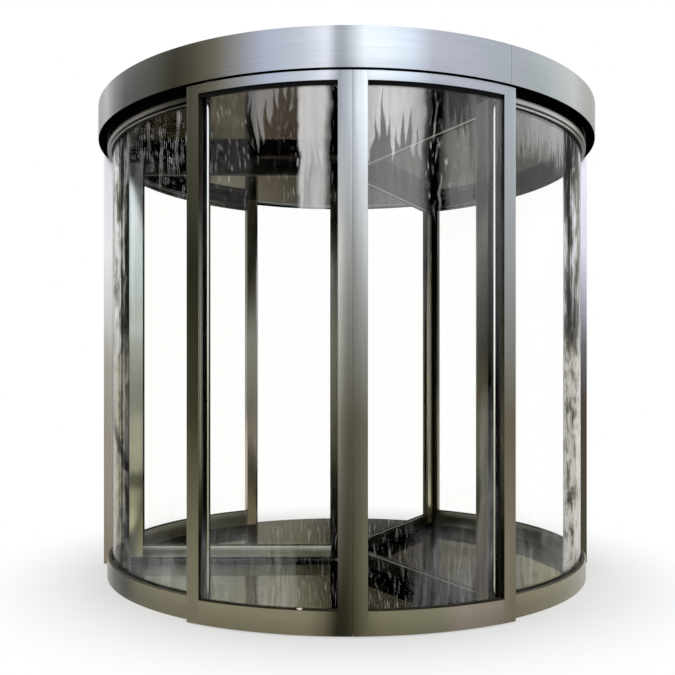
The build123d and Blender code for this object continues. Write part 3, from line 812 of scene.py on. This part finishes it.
def finish_piece(name, shape, material, body, replaced=()):
    """Turn a shape into a smooth-shaded piece that rides on a body."""
    bmesh.ops.recalc_face_normals(shape, faces=shape.faces)
    mesh = mesh_from(name, shape)
    mesh.shade_smooth()
    mesh.set_sharp_from_angle(angle=radians(35))
    mesh.materials.append(material)
    piece = new_object(name, mesh)
    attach(piece, body)
    if replaced:
        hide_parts(*replaced)
    return piece


def round_edges(shape, width, segments=2):
    """Round the sharp edges of a shape."""
    sharp = [edge for edge in shape.edges if len(edge.link_faces) == 2 and edge.calc_face_angle() > radians(30)]
    bmesh.ops.bevel(
        shape, geom=sharp, offset=width, offset_type="OFFSET", segments=segments,
        profile=0.5, affect="EDGES", clamp_overlap=True, material=-1,
    )


def on_ring(radius, angle, height=0):
    """Point at a radius, a heading in degrees and a height."""
    return Vector((radius * sin(radians(angle)), -radius * cos(radians(angle)), height))


def spin_section(shape, section, start, end, step):
    """Carry a section, given as radius and height, round the axis from one heading to another."""
    face = shape.faces.new([shape.verts.new(on_ring(r, start, z)) for r, z in section])
    bmesh.ops.spin(
        shape, geom=[face, *face.edges, *face.verts], cent=(0, 0, 0), axis=(0, 0, 1), dvec=(0, 0, 0),
        angle=radians(end - start), steps=max(1, round(abs(end - start) / step)),
        use_merge=False, use_duplicate=False,
    )


def box_section(inner_r, outer_r, low, high):
    """Rectangular section."""
    return [(inner_r, low), (outer_r, low), (outer_r, high), (inner_r, high)]


def strip(radius, inner, outer, level, low=0, high=0, top=None):
    """Small section, in millimetres from a radius and a level, or up to a second level."""
    upper = level if top is None else top
    return box_section(radius + inner * MM, radius + outer * MM, level + low * MM, upper + high * MM)


def bent_bars(name, bars, material, body, slot, replaced=(), width=0.8 * MM, step=1.0):
    """Piece made of bent bars, each a section, a start heading and an end heading."""
    shape = bmesh.new()
    for section, start, end in bars:
        spin_section(shape, section, start, end, step)
    if width:
        round_edges(shape, width)
    return finish_piece(name, shape, material, body, replaced)


def softened(name, node, material, body, width=0.8 * MM):
    """Merged copy of a CAD node with its edges rounded."""
    shape = bmesh.new()
    shape.from_mesh(nodes[node].data)
    bmesh.ops.remove_doubles(shape, verts=shape.verts, dist=0.01 * MM)
    bmesh.ops.dissolve_limit(shape, angle_limit=radians(0.2), verts=shape.verts, edges=shape.edges)
    round_edges(shape, width)
    return finish_piece(name, shape, material, body, [node])


def second_finish(piece, material, chosen):
    """Give another material to the faces that pass a test of the face and its outward direction."""
    piece.data.materials.append(material)
    for face in piece.data.polygons:
        outward = Vector((face.center.x, face.center.y, 0)).normalized()
        if chosen(face, outward):
            face.material_index = 1


def sideways_face(face, outward):
    """Test for an upright face that looks along the ring."""
    return abs(face.normal.dot(outward)) < 0.3 and abs(face.normal.z) < 0.3


def inward_face(face, outward):
    """Test for a face that looks at the axis."""
    return face.normal.dot(outward) < -0.7


def face_near_axis(face, outward):
    """Test for a face that stands against the shaft."""
    return face.center.xy.length < 0.1


def level_bar(shape, start, end, near, far, low, high):
    """Straight bar along +X, between two distances, two faces and two heights."""
    near, far = sorted((near, far))
    made = bmesh.ops.create_cube(shape, size=1.0)["verts"]
    bmesh.ops.scale(shape, verts=made, vec=(end - start, far - near, high - low))
    bmesh.ops.translate(shape, verts=made, vec=((start + end) / 2, (near + far) / 2, (low + high) / 2))
    return made


def round_head(shape, spot, low, radius, height):
    """Low screw head with a chamfered rim and a drive recess."""
    made = bmesh.ops.create_cone(
        shape, cap_ends=True, segments=20, radius1=radius, radius2=radius * 0.8, depth=height)["verts"]
    bmesh.ops.translate(shape, verts=made, vec=(spot.x, spot.y, low + height / 2))
    top = max({face for vert in made for face in vert.link_faces}, key=lambda face: face.calc_center_median().z)
    bmesh.ops.inset_region(shape, faces=[top], thickness=radius * 0.35)
    bmesh.ops.translate(shape, verts=top.verts, vec=(0, 0, -height * 0.5))


def about_axis(angle):
    """Turn about the drum's axis."""
    return Matrix.Rotation(angle, 3, "Z")


print("shape helpers ready")

# %% [markdown]
# ## Fascia
# Three curved sheets stand round the canopy with an open joint between each two.

# %% Fascia
FASCIA_SEAMS = {"fascia_right": 30, "fascia_back_left": 150, "fascia_front": 270}
half_seam = degrees(0.75 * MM / FASCIA_R)
sheet = strip(FASCIA_R, -2, 0, SOFFIT_Z, top=CANOPY_TOP)
for node, start in FASCIA_SEAMS.items():
    bars = [(sheet, start + half_seam, start + 120 - half_seam)]
    bent_bars(node + "_sheet", bars, STEEL_ROUND, "drum", "fascia_steel", [node], width=0.5 * MM)
print("fascia sheets", len(FASCIA_SEAMS))

# %% [markdown]
# ## Sills, headers and their glass
# Each quarter has a sill, a header and a bent pane between them.

# %% Quarters of the drum wall
POST_NEAR = 28.9
POST_FAR = POST_NEAR + degrees(69 * MM / DRUM_R)
SIDE_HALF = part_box("side_post_right")[1].y
HEADER_FACE = 22 * MM


def quarter_bars(label, quarter, sections, start, end, material, slot="drum_steel", node=None, **finish):
    """Bent bars of a quarter, from the headings of the front right one."""
    side, base = QUARTERS[quarter]
    span = sorted((base + side * start, base + side * end))
    bars = [(section, *span) for section in sections]
    return bent_bars(label + quarter, bars, material, "drum", slot, [node + quarter] if node else (), **finish)


def side_heading(radius):
    """Heading at which a radius meets the side post."""
    return 90 - degrees(atan2(SIDE_HALF, (radius**2 - SIDE_HALF**2) ** 0.5))


WALL_END = side_heading(1.26)
SILL = box_section(INNER_R, DRUM_R, 0, SILL_TOP)
FACE = box_section(INNER_R, DRUM_R, HEADER_LOW, HEADER_LOW + HEADER_FACE)
# the recess above the header face is black: painted shade in the step
SHADED_RECESS = box_section(INNER_R, DRUM_R - 6 * MM, HEADER_LOW + HEADER_FACE, CEILING_Z)
for quarter in QUARTERS:
    wall = (POST_FAR, WALL_END)
    piece = quarter_bars("sill_bar_", quarter, [SILL], *wall, STEEL_ROUND, node="sill_", width=0.6 * MM)
    second_finish(piece, STEEL_INSIDE, inward_face)
    quarter_bars("header_face_", quarter, [FACE], *wall, STEEL_HEADER, node="header_", width=0.5 * MM)
    quarter_bars("header_shaded_recess_", quarter, [SHADED_RECESS], *wall, BLACK_COAT_AND_SHADE, "soffit_black")
print("wall spans", round(POST_FAR, 2), round(WALL_END, 2))

# %% [markdown]
# ## Bent panes, beads and gaskets
# Each pane stands in a groove. Outside, a slim steel bead covers the groove under the header and another
# lies on the sill, with black gasket between bead and glass. The beads are what give the header ring its
# second thin line when it is seen from below.

# %% Panes, beads and gaskets
PANE = strip(GLASS_R, -5, 5, SILL_TOP, 0.5, -0.5, top=HEADER_LOW)
PANE_GASKETS = [
    strip(GLASS_R, 5, 9, SILL_TOP, 0, 3), strip(GLASS_R, 5, 10, HEADER_LOW, -4, 0),
    strip(GLASS_R, 5, 9, HEADER_LOW, -16, -12), strip(GLASS_R, -9, -5, SILL_TOP, 0, 6),
    strip(GLASS_R, -9, -5, HEADER_LOW, -8, 0),
]
HEAD_BEAD = strip(GLASS_R, 5, 20, HEADER_LOW, -12, -4)
SILL_BEAD = strip(GLASS_R, 9, 25, SILL_TOP, 0, 1.5)
for quarter in QUARTERS:
    wall = (POST_FAR + 0.02, side_heading(GLASS_R) - 0.02)
    glass = FRONT_GLASS if "front" in quarter else BACK_GLASS
    quarter_bars("pane_", quarter, [PANE], *wall, glass, "drum_glass", "drum_glass_", width=0, step=0.5)
    quarter_bars("pane_gasket_", quarter, PANE_GASKETS, *wall, RUBBER, "soffit_black", width=0.4 * MM)
    quarter_bars("head_bead_", quarter, [HEAD_BEAD], *wall, STEEL_HEADER)
    quarter_bars("sill_bead_", quarter, [SILL_BEAD], *wall, BEAD_GREY, width=0.5 * MM)
print("panes", len(QUARTERS))

# %% [markdown]
# ## Portal posts and their round nosings
# Four posts frame the front and the back opening. Each is a folded steel box, and a round polished rod
# covers the edge that people pass. The box could be a straight extrusion, but its faces follow the ring, so
# it is a short section carried through its few degrees of heading. The nosing is a true rod with forty
# sides, because its thin painted bright line only appears on a surface that turns steadily; a rounded box
# would show a flat band there. A black strip covers the side face of the box between its front and the rod.

# %% Portal posts
def upright_rod(shape, center, rod_radius, height, sides=40):
    """Upright rod with closed ends, from the floor up."""
    ring = bmesh.ops.create_circle(shape, cap_ends=True, radius=rod_radius, segments=sides)["verts"]
    bmesh.ops.translate(shape, verts=ring, vec=center)
    top = bmesh.ops.extrude_face_region(shape, geom=[ring[0].link_faces[0]], use_keep_orig=True)["geom"]
    raised = [part for part in top if isinstance(part, bmesh.types.BMVert)]
    bmesh.ops.translate(shape, verts=raised, vec=(0, 0, height))


NOSING_R = 10.5 * MM
NOSING_AXIS_R = DRUM_R - 25 * MM
NOSING_HEADING = POST_NEAR - degrees(6 * MM / NOSING_AXIS_R)
POST = box_section(INNER_R, DRUM_R, 0, CEILING_Z)
BLACK_SIDE_STRIP = box_section(NOSING_AXIS_R + 8 * MM, DRUM_R - 1.5 * MM, 3 * MM, CEILING_Z)
BLACK_SIDE_STRIP_START = POST_NEAR - 0.09
for quarter, (side, base) in QUARTERS.items():
    steel = STEEL_UPRIGHT if "front" in quarter else STEEL_BACK_POST
    quarter_bars("post_body_", quarter, [POST], POST_NEAR, POST_FAR, steel, node="portal_post_")
    quarter_bars(
        "post_black_side_strip_", quarter, [BLACK_SIDE_STRIP], BLACK_SIDE_STRIP_START, POST_NEAR, RUBBER, "soffit_black", width=0.4 * MM)
    shape = bmesh.new()
    upright_rod(shape, on_ring(NOSING_AXIS_R, base + side * NOSING_HEADING), NOSING_R, CEILING_Z)
    finish_piece("post_nosing_" + quarter, shape, POLISHED, "drum")
print("nosing heading", round(NOSING_HEADING, 3))

# %% [markdown]
# ## Side posts
# The two posts at the far left and right stand where the quarters of the wall meet, and a little outside
# the drum. They carry the canopy, and a building's wall would join the door here. They are flat boxes with
# nothing round about them, so a merged copy of the CAD node with softened edges is all they need.

# %% Side posts
for node in ("side_post_right", "side_post_left"):
    softened(node + "_cover", node, STEEL_SIDE_POST, "drum", width=0.6 * MM)

# %% [markdown]
# ## Night-closing leaves
# Two bent leaves close the front opening at night and slide aside on a track above the soffit. A leaf is a
# frame of four members with one radius: two stiles, a bottom rail and a head. Drawn as one outline with a
# hole, the frame would lose the fine joints where the rails meet the stiles, so each member is its own bar.
# The sides of the stiles turn away from the street and get a second finish. A gasket holds the pane on both
# faces: a deep black one under the head, a shallow one on the rail and a thin one along each stile. The
# left leaf also has the small bright catch of the floor lock on its bottom rail.

# %% Leaves
LEAF_EDGE = POST_NEAR + degrees(57 * MM / LEAF_MID_R)
MEETING = degrees(0.5 * MM / LEAF_MID_R)
MEETING_STILE = MEETING + degrees(58 * MM / LEAF_MID_R)
OUTER_STILE = LEAF_EDGE - degrees(62 * MM / LEAF_MID_R)
STILE_GASKET = 0.05
stile = box_section(LEAF_INNER_R, LEAF_OUTER_R, LEAF_LOW, LEAF_TOP)
rail = box_section(LEAF_INNER_R, LEAF_OUTER_R, LEAF_LOW, LEAF_RAIL_TOP)
head = box_section(LEAF_INNER_R, LEAF_OUTER_R, LEAF_HEAD_LOW, LEAF_TOP)
pane = strip(LEAF_MID_R, -4, 4, LEAF_RAIL_TOP, 0.5, -0.5, top=LEAF_HEAD_LOW)
opening = (MEETING_STILE, OUTER_STILE)
stile_bars = [(stile, MEETING, MEETING_STILE), (stile, OUTER_STILE, LEAF_EDGE)]
head_gaskets = [(strip(LEAF_MID_R, near, near + 5, LEAF_HEAD_LOW, -16, 0), *opening) for near in (4, -9)]
edge_gaskets = []
for near in (4, -9):
    edge_gaskets.append((strip(LEAF_MID_R, near, near + 5, LEAF_RAIL_TOP, 0, 5), *opening))
    upright = strip(LEAF_MID_R, near, near + 1.5, LEAF_RAIL_TOP, top=LEAF_HEAD_LOW)
    edge_gaskets.append((upright, OUTER_STILE - STILE_GASKET, OUTER_STILE))
    edge_gaskets.append((upright, MEETING_STILE, MEETING_STILE + STILE_GASKET))


def leaf_bars(leaf, label, bars, material, slot, replaced=(), width=0.8 * MM, step=1.0):
    """Bent bars of a leaf, from bars with the headings of the right leaf."""
    side = 1 if leaf == "leaf_right" else -1
    placed = [(section, *sorted((side * start, side * end))) for section, start, end in bars]
    nodes_replaced = [leaf + node for node in replaced]
    return bent_bars(leaf + label, placed, material, leaf, slot, nodes_replaced, width, step)


for leaf in ("leaf_right", "leaf_left"):
    piece = leaf_bars(leaf, "_stile_bars", stile_bars, STEEL_UPRIGHT, "leaf_frame", ["_stiles"], 0.6 * MM)
    second_finish(piece, STEEL_RETURN, sideways_face)
    rails = [(rail, *opening), (head, *opening)]
    leaf_bars(leaf, "_rail_bars", rails, STEEL_ROUND, "leaf_frame", ["_rails"], 0.5 * MM)
    panes = [(pane, MEETING_STILE + 0.02, OUTER_STILE - 0.02)]
    leaf_bars(leaf, "_pane", panes, LEAF_GLASS, "leaf_glass", ["_glass"], width=0, step=0.5)
    leaf_bars(leaf, "_head_gasket", head_gaskets, RUBBER, "soffit_black", width=0.4 * MM)
    leaf_bars(leaf, "_gasket", edge_gaskets, GASKET, "soffit_black", width=0.3 * MM)

CATCH_HEADING = 9.2
half_catch = degrees(12 * MM / LEAF_OUTER_R)
catch = strip(LEAF_OUTER_R, -10, -2, LEAF_RAIL_TOP, 4, 7)
foot = strip(LEAF_OUTER_R, -12, -3, LEAF_RAIL_TOP, 0, 4)
catch_bars = [
    (section, CATCH_HEADING - half, CATCH_HEADING + half)
    for section, half in ((catch, half_catch), (foot, half_catch / 2))
]
leaf_bars("leaf_left", "_catch", catch_bars, CATCH_STEEL, "leaf_frame", width=1.2 * MM, step=0.4)
print("leaf edge heading", round(LEAF_EDGE, 2))

# %% [markdown]
# ## Wings
# A wing is a glazed door without hinges. Its stiles and rails come from the CAD with softened edges, and their
# steel carries painted reflections and painted shade. What a maker adds are the parts that hold the rest: a
# black gasket line round the pane on both faces, which leaves only a thin lip of steel with a painted bright
# line, and black carriers that clamp the brushes above and below the rails and along the outer stile. The
# brush itself is rows of small tufts. A plain strip would do from afar, yet its edge would be a ruled line, and
# here the bristle tips end unevenly just short of the floor, the ceiling and the wall. Tufts come in short rows
# of thirty that are made once each and laid end to end, since shaping one long mesh tuft by tuft grows slower
# with every tuft.

# %% Wing frames
softened("shaft_cover", "center_shaft", WING_UPRIGHT, "rotor")
for wing, steel in zip(WINGS, (WING_UPRIGHT, WING_UPRIGHT, WING_FAR)):
    piece = softened(wing + "_stile_bars", wing + "_stiles", steel, "rotor", width=0.6 * MM)
    second_finish(piece, NEAR_SHAFT, face_near_axis)
    softened(wing + "_rail_bars", wing + "_rails", WING_LEVEL, "rotor", width=0.6 * MM)
print("wing frames", len(WINGS))

# %% Wing gaskets and brush carriers
WING_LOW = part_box("wing_1_stiles")[0].z
WING_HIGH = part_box("wing_1_stiles")[1].z
PANE_LOW, PANE_HIGH = WING_LOW + 70 * MM, WING_HIGH - 70 * MM
WING_START, WING_END = 38 * MM, 1205 * MM
PANE_START, PANE_END = 84 * MM, 1130 * MM
WING_FACE = 20 * MM
TUFT_PITCH = 3.1 * MM
TUFTS_IN_ROW = 30
UPRIGHT = Matrix(((0, 0, 1, 0), (0, 1, 0, 0), (1, 0, 0, 0), (0, 0, 0, 1)))
jitter = random.Random(11)


def wing_heading(wing):
    """Direction of a wing from +X, from where its pane stands."""
    low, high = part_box(wing + "_glass")
    middle = (low + high) / 2
    return atan2(middle.y, middle.x)


def tuft_row(count, inner, outer):
    """Mesh of a short row of bristle tufts along X, from a carrier at z = inner to tips near outer."""
    row = bmesh.new()
    for step in range(count):
        tip = outer - (1 if outer > inner else -1) * jitter.uniform(0, 0.9) * MM
        made = bmesh.ops.create_cone(
            row, cap_ends=True, segments=6, radius1=1.7 * MM, radius2=1.3 * MM, depth=abs(tip - inner))["verts"]
        bmesh.ops.scale(row, verts=made, vec=(1, 3.3, 1))
        bmesh.ops.translate(row, verts=made, vec=((step + 0.5) * TUFT_PITCH, 0, (tip + inner) / 2))
    return mesh_from("tuft row", row)


def lay_tufts(shape, start, end, inner, outer, upright=False):
    """Lay short rows end to end along X, or along Z for the upright brush."""
    total = int((end - start) / TUFT_PITCH)
    while total > 0:
        mesh = tuft_row(min(total, TUFTS_IN_ROW), inner, outer)
        place = Matrix.Translation((0, 0, start)) @ UPRIGHT if upright else Matrix.Translation((start, 0, 0))
        mesh.transform(place)
        shape.from_mesh(mesh)
        bpy.data.meshes.remove(mesh)
        start += TUFTS_IN_ROW * TUFT_PITCH
        total -= TUFTS_IN_ROW


for wing in WINGS:
    brush, seals, carriers, lips = [bmesh.new() for _ in range(4)]
    lay_tufts(brush, WING_START, WING_END - 1 * MM, WING_LOW, FLOOR_TOP + 1.2 * MM)
    lay_tufts(brush, WING_START, WING_END - 1 * MM, WING_HIGH, CEILING_Z - 1.2 * MM)
    lay_tufts(brush, FLOOR_TOP + 2 * MM, CEILING_Z - 2 * MM, WING_END, INNER_R - 3 * MM, upright=True)
    for side in (-1, 1):
        faces = (side * 4 * MM, side * 15 * MM)
        level_bar(seals, PANE_START, PANE_END, *faces, PANE_LOW, PANE_LOW + 3 * MM)
        level_bar(seals, PANE_START, PANE_END, *faces, PANE_HIGH - 3 * MM, PANE_HIGH)
        level_bar(seals, PANE_START, PANE_START + 3 * MM, *faces, PANE_LOW, PANE_HIGH)
        level_bar(seals, PANE_END - 3 * MM, PANE_END, side * 4 * MM, side * 8 * MM, PANE_LOW, PANE_HIGH)
        faces = (side * WING_FACE, side * (WING_FACE + 1.5 * MM))
        level_bar(carriers, WING_START, WING_END - 2 * MM, *faces, WING_HIGH - 14 * MM, WING_HIGH)
        level_bar(carriers, WING_START, WING_END - 2 * MM, *faces, WING_LOW, WING_LOW + 9 * MM)
        level_bar(carriers, WING_END, WING_END + 5 * MM, side * 6 * MM, side * 14 * MM, WING_LOW, WING_HIGH)
    faces = (-WING_FACE - 0.6 * MM, -16 * MM)
    level_bar(lips, PANE_START, PANE_END, *faces, PANE_LOW - 1 * MM, PANE_LOW + 2.5 * MM)
    level_bar(lips, PANE_START, PANE_END, *faces, PANE_HIGH - 2.5 * MM, PANE_HIGH + 1 * MM)
    level_bar(lips, PANE_END - 2.5 * MM, PANE_END + 1 * MM, *faces, PANE_LOW, PANE_HIGH)
    for label, shape, width, material, slot in (
        ("_bristles", brush, 0, BRISTLE, "brush_seals"),
        ("_gaskets", seals, 0.4 * MM, RUBBER, "brush_seals"),
        ("_carriers", carriers, 0.3 * MM, RUBBER, "brush_seals"),
        ("_lips", lips, 0.5 * MM, LIP_STEEL, "wing_frame"),
    ):
        if width:
            round_edges(shape, width)
        bmesh.ops.rotate(shape, verts=shape.verts, cent=(0, 0, 0), matrix=about_axis(wing_heading(wing)))
        node = [wing + "_brushes"] if shape is brush else ()
        finish_piece(wing + label, shape, material, "rotor", node)
print("wing headings", [round(degrees(wing_heading(wing))) for wing in WINGS])

# %% [markdown]
# ## Roof and bearing details
# The roof is a pressed disc that lies two millimetres inside the fascia. Flat strips cover its six joints,
# and low screws hold them and the rim down. The floor bearing is a ring with six screws round the shaft.

# %% Roof strips and screws
ROOF_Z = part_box("roof_cover")[1].z
STRIP_HALF, STRIP_THICK = 30 * MM, 0.9 * MM
strips, screws, bearing_screws = bmesh.new(), bmesh.new(), bmesh.new()
for number in range(6):
    turn = about_axis(radians(60 * number + 30))
    made = level_bar(strips, 0.12, FASCIA_R - 40 * MM, -STRIP_HALF, STRIP_HALF, ROOF_Z, ROOF_Z + STRIP_THICK)
    bmesh.ops.rotate(strips, verts=made, cent=(0, 0, 0), matrix=turn)
    for step in range(5):
        for side in (-18 * MM, 18 * MM):
            centre = turn @ Vector((0.2 + step * 0.25, side, 0))
            round_head(screws, centre, ROOF_Z + STRIP_THICK, 5 * MM, 0.9 * MM)
    round_head(bearing_screws, on_ring(50 * MM, number * 60 + 15), FLOOR_TOP, 4 * MM, 1.2 * MM)
for number in range(36):
    round_head(screws, on_ring(FASCIA_R - 18 * MM, number * 10 + 5), ROOF_Z, 5 * MM, 1.6 * MM)
round_edges(strips, 0.25 * MM, 1)
finish_piece("roof_strips", strips, CANOPY_GREY, "drum")
finish_piece("roof_screws", screws, BEARING, "drum")
finish_piece("floor_bearing_screws", bearing_screws, BEARING, "drum")
print("roof and bearing details ready")

# %% [markdown]
# ## Nodes that stay as the CAD made them
# The ceiling, the floor, the soffit, the bearings and the flat panes already have the right shape: broad
# plain faces whose edges are covered by something else. They only need a finish, so the material is put on
# the node itself and no new piece is modelled.

# %% Materials of the CAD nodes that stay
KEPT = {
    BLACK_COAT_AND_SHADE: ("leaf_track", "soffit"), CEILING_DARK: ("ceiling",), CANOPY_GREY: ("ring_beam", "roof_cover"),
    FLOOR_DARK: ("floor_disc", "threshold_front", "threshold_back"),
    BEARING: ("floor_bearing", "top_bearing", "leaf_left_hangers", "leaf_right_hangers"),
    FLAT_GLASS: [wing + "_glass" for wing in WINGS],
}
for material, names in KEPT.items():
    for node in names:
        nodes[node].data.materials.clear()
        nodes[node].data.materials.append(material)
print("kept nodes", sum(len(names) for names in KEPT.values()))

# %% [markdown]
# ## Studio
# The door stands in a white surround, as in a catalogue. The world is pure white for rays that the camera,
# a mirror or a pane sends out, and a little dimmer for the rest, so that matt parts keep some shade. The
# floor is a matt disc that fades into the white with distance and keeps a soft shadow near the door. Three
# large lamps at the front, the side and the back add soft highlights to the broad gradients painted into the
# steel; they are hidden from rays through glass, which would otherwise show them as hard squares.

# %% World
WHITE = (1, 1, 1, 1)
scene = bpy.context.scene
world = bpy.data.worlds.new("white surround")
scene.world = world
world.use_nodes = True


def seen_directly(tree):
    """One for camera, glossy and transmission rays."""
    rays = add_node(tree, "ShaderNodeLightPath").outputs
    kinds = ("Camera", "Glossy", "Transmission")
    seen, glossy, passing = [Level(tree, rays[f"Is {kind} Ray"]) for kind in kinds]
    return seen.most(glossy).most(passing)


background = world.node_tree.nodes["Background"]
background.inputs["Color"].default_value = WHITE
seen_directly(world.node_tree).spread(0, 1, 0.8, 1.0).to(background.inputs["Strength"])

# %% Floor
shape = bmesh.new()
bmesh.ops.create_circle(shape, cap_ends=True, radius=14, segments=128)
bmesh.ops.translate(shape, verts=shape.verts, vec=(0, 0, -1 * MM))
floor = new_object("floor", mesh_from("floor", shape))
material = bpy.data.materials.new("pale floor")
material.use_nodes = True
tree = material.node_tree
tree.nodes.clear()
pale = level_from(tree, "ShaderNodeBsdfDiffuse", {"Color": (0.9, 0.9, 0.9, 1)})
white = level_from(tree, "ShaderNodeEmission", {"Color": WHITE, "Strength": 1.0})
distance = level_from(tree, "ShaderNodeVectorMath", (coordinates(tree),), output="Value", operation="LENGTH")
fade = distance.spread(1.2, 2.0, 0.45, 1.0, kind="SMOOTHSTEP") * seen_directly(tree)
surface = level_from(tree, "ShaderNodeMixShader", (fade, pale, white))
surface.to(add_node(tree, "ShaderNodeOutputMaterial").inputs["Surface"])
floor.data.materials.append(material)
print("floor ready")

# %% Lamps
def soft_lamp(name, place, target, size, power):
    """Large square lamp aimed at a point."""
    lamp = bpy.data.lights.new(name, "AREA")
    lamp.shape = "SQUARE"
    lamp.size = size
    lamp.energy = power
    holder = new_object(name, lamp)
    holder.location = place
    holder.rotation_euler = (Vector(target) - Vector(place)).to_track_quat("-Z", "Y").to_euler()
    holder.visible_transmission = False


soft_lamp("key", (1.6, -6.5, 5.2), (0, 0, 1.6), 5.0, 24)
soft_lamp("side", (6.2, 1.2, 4.2), (0, 0, 1.4), 4.0, 16)
soft_lamp("back", (-1.2, 6.5, 5.0), (0, 0, 1.6), 5.0, 40)
print("lamps", len(bpy.data.lights))

scene.view_settings.view_transform = "Standard"
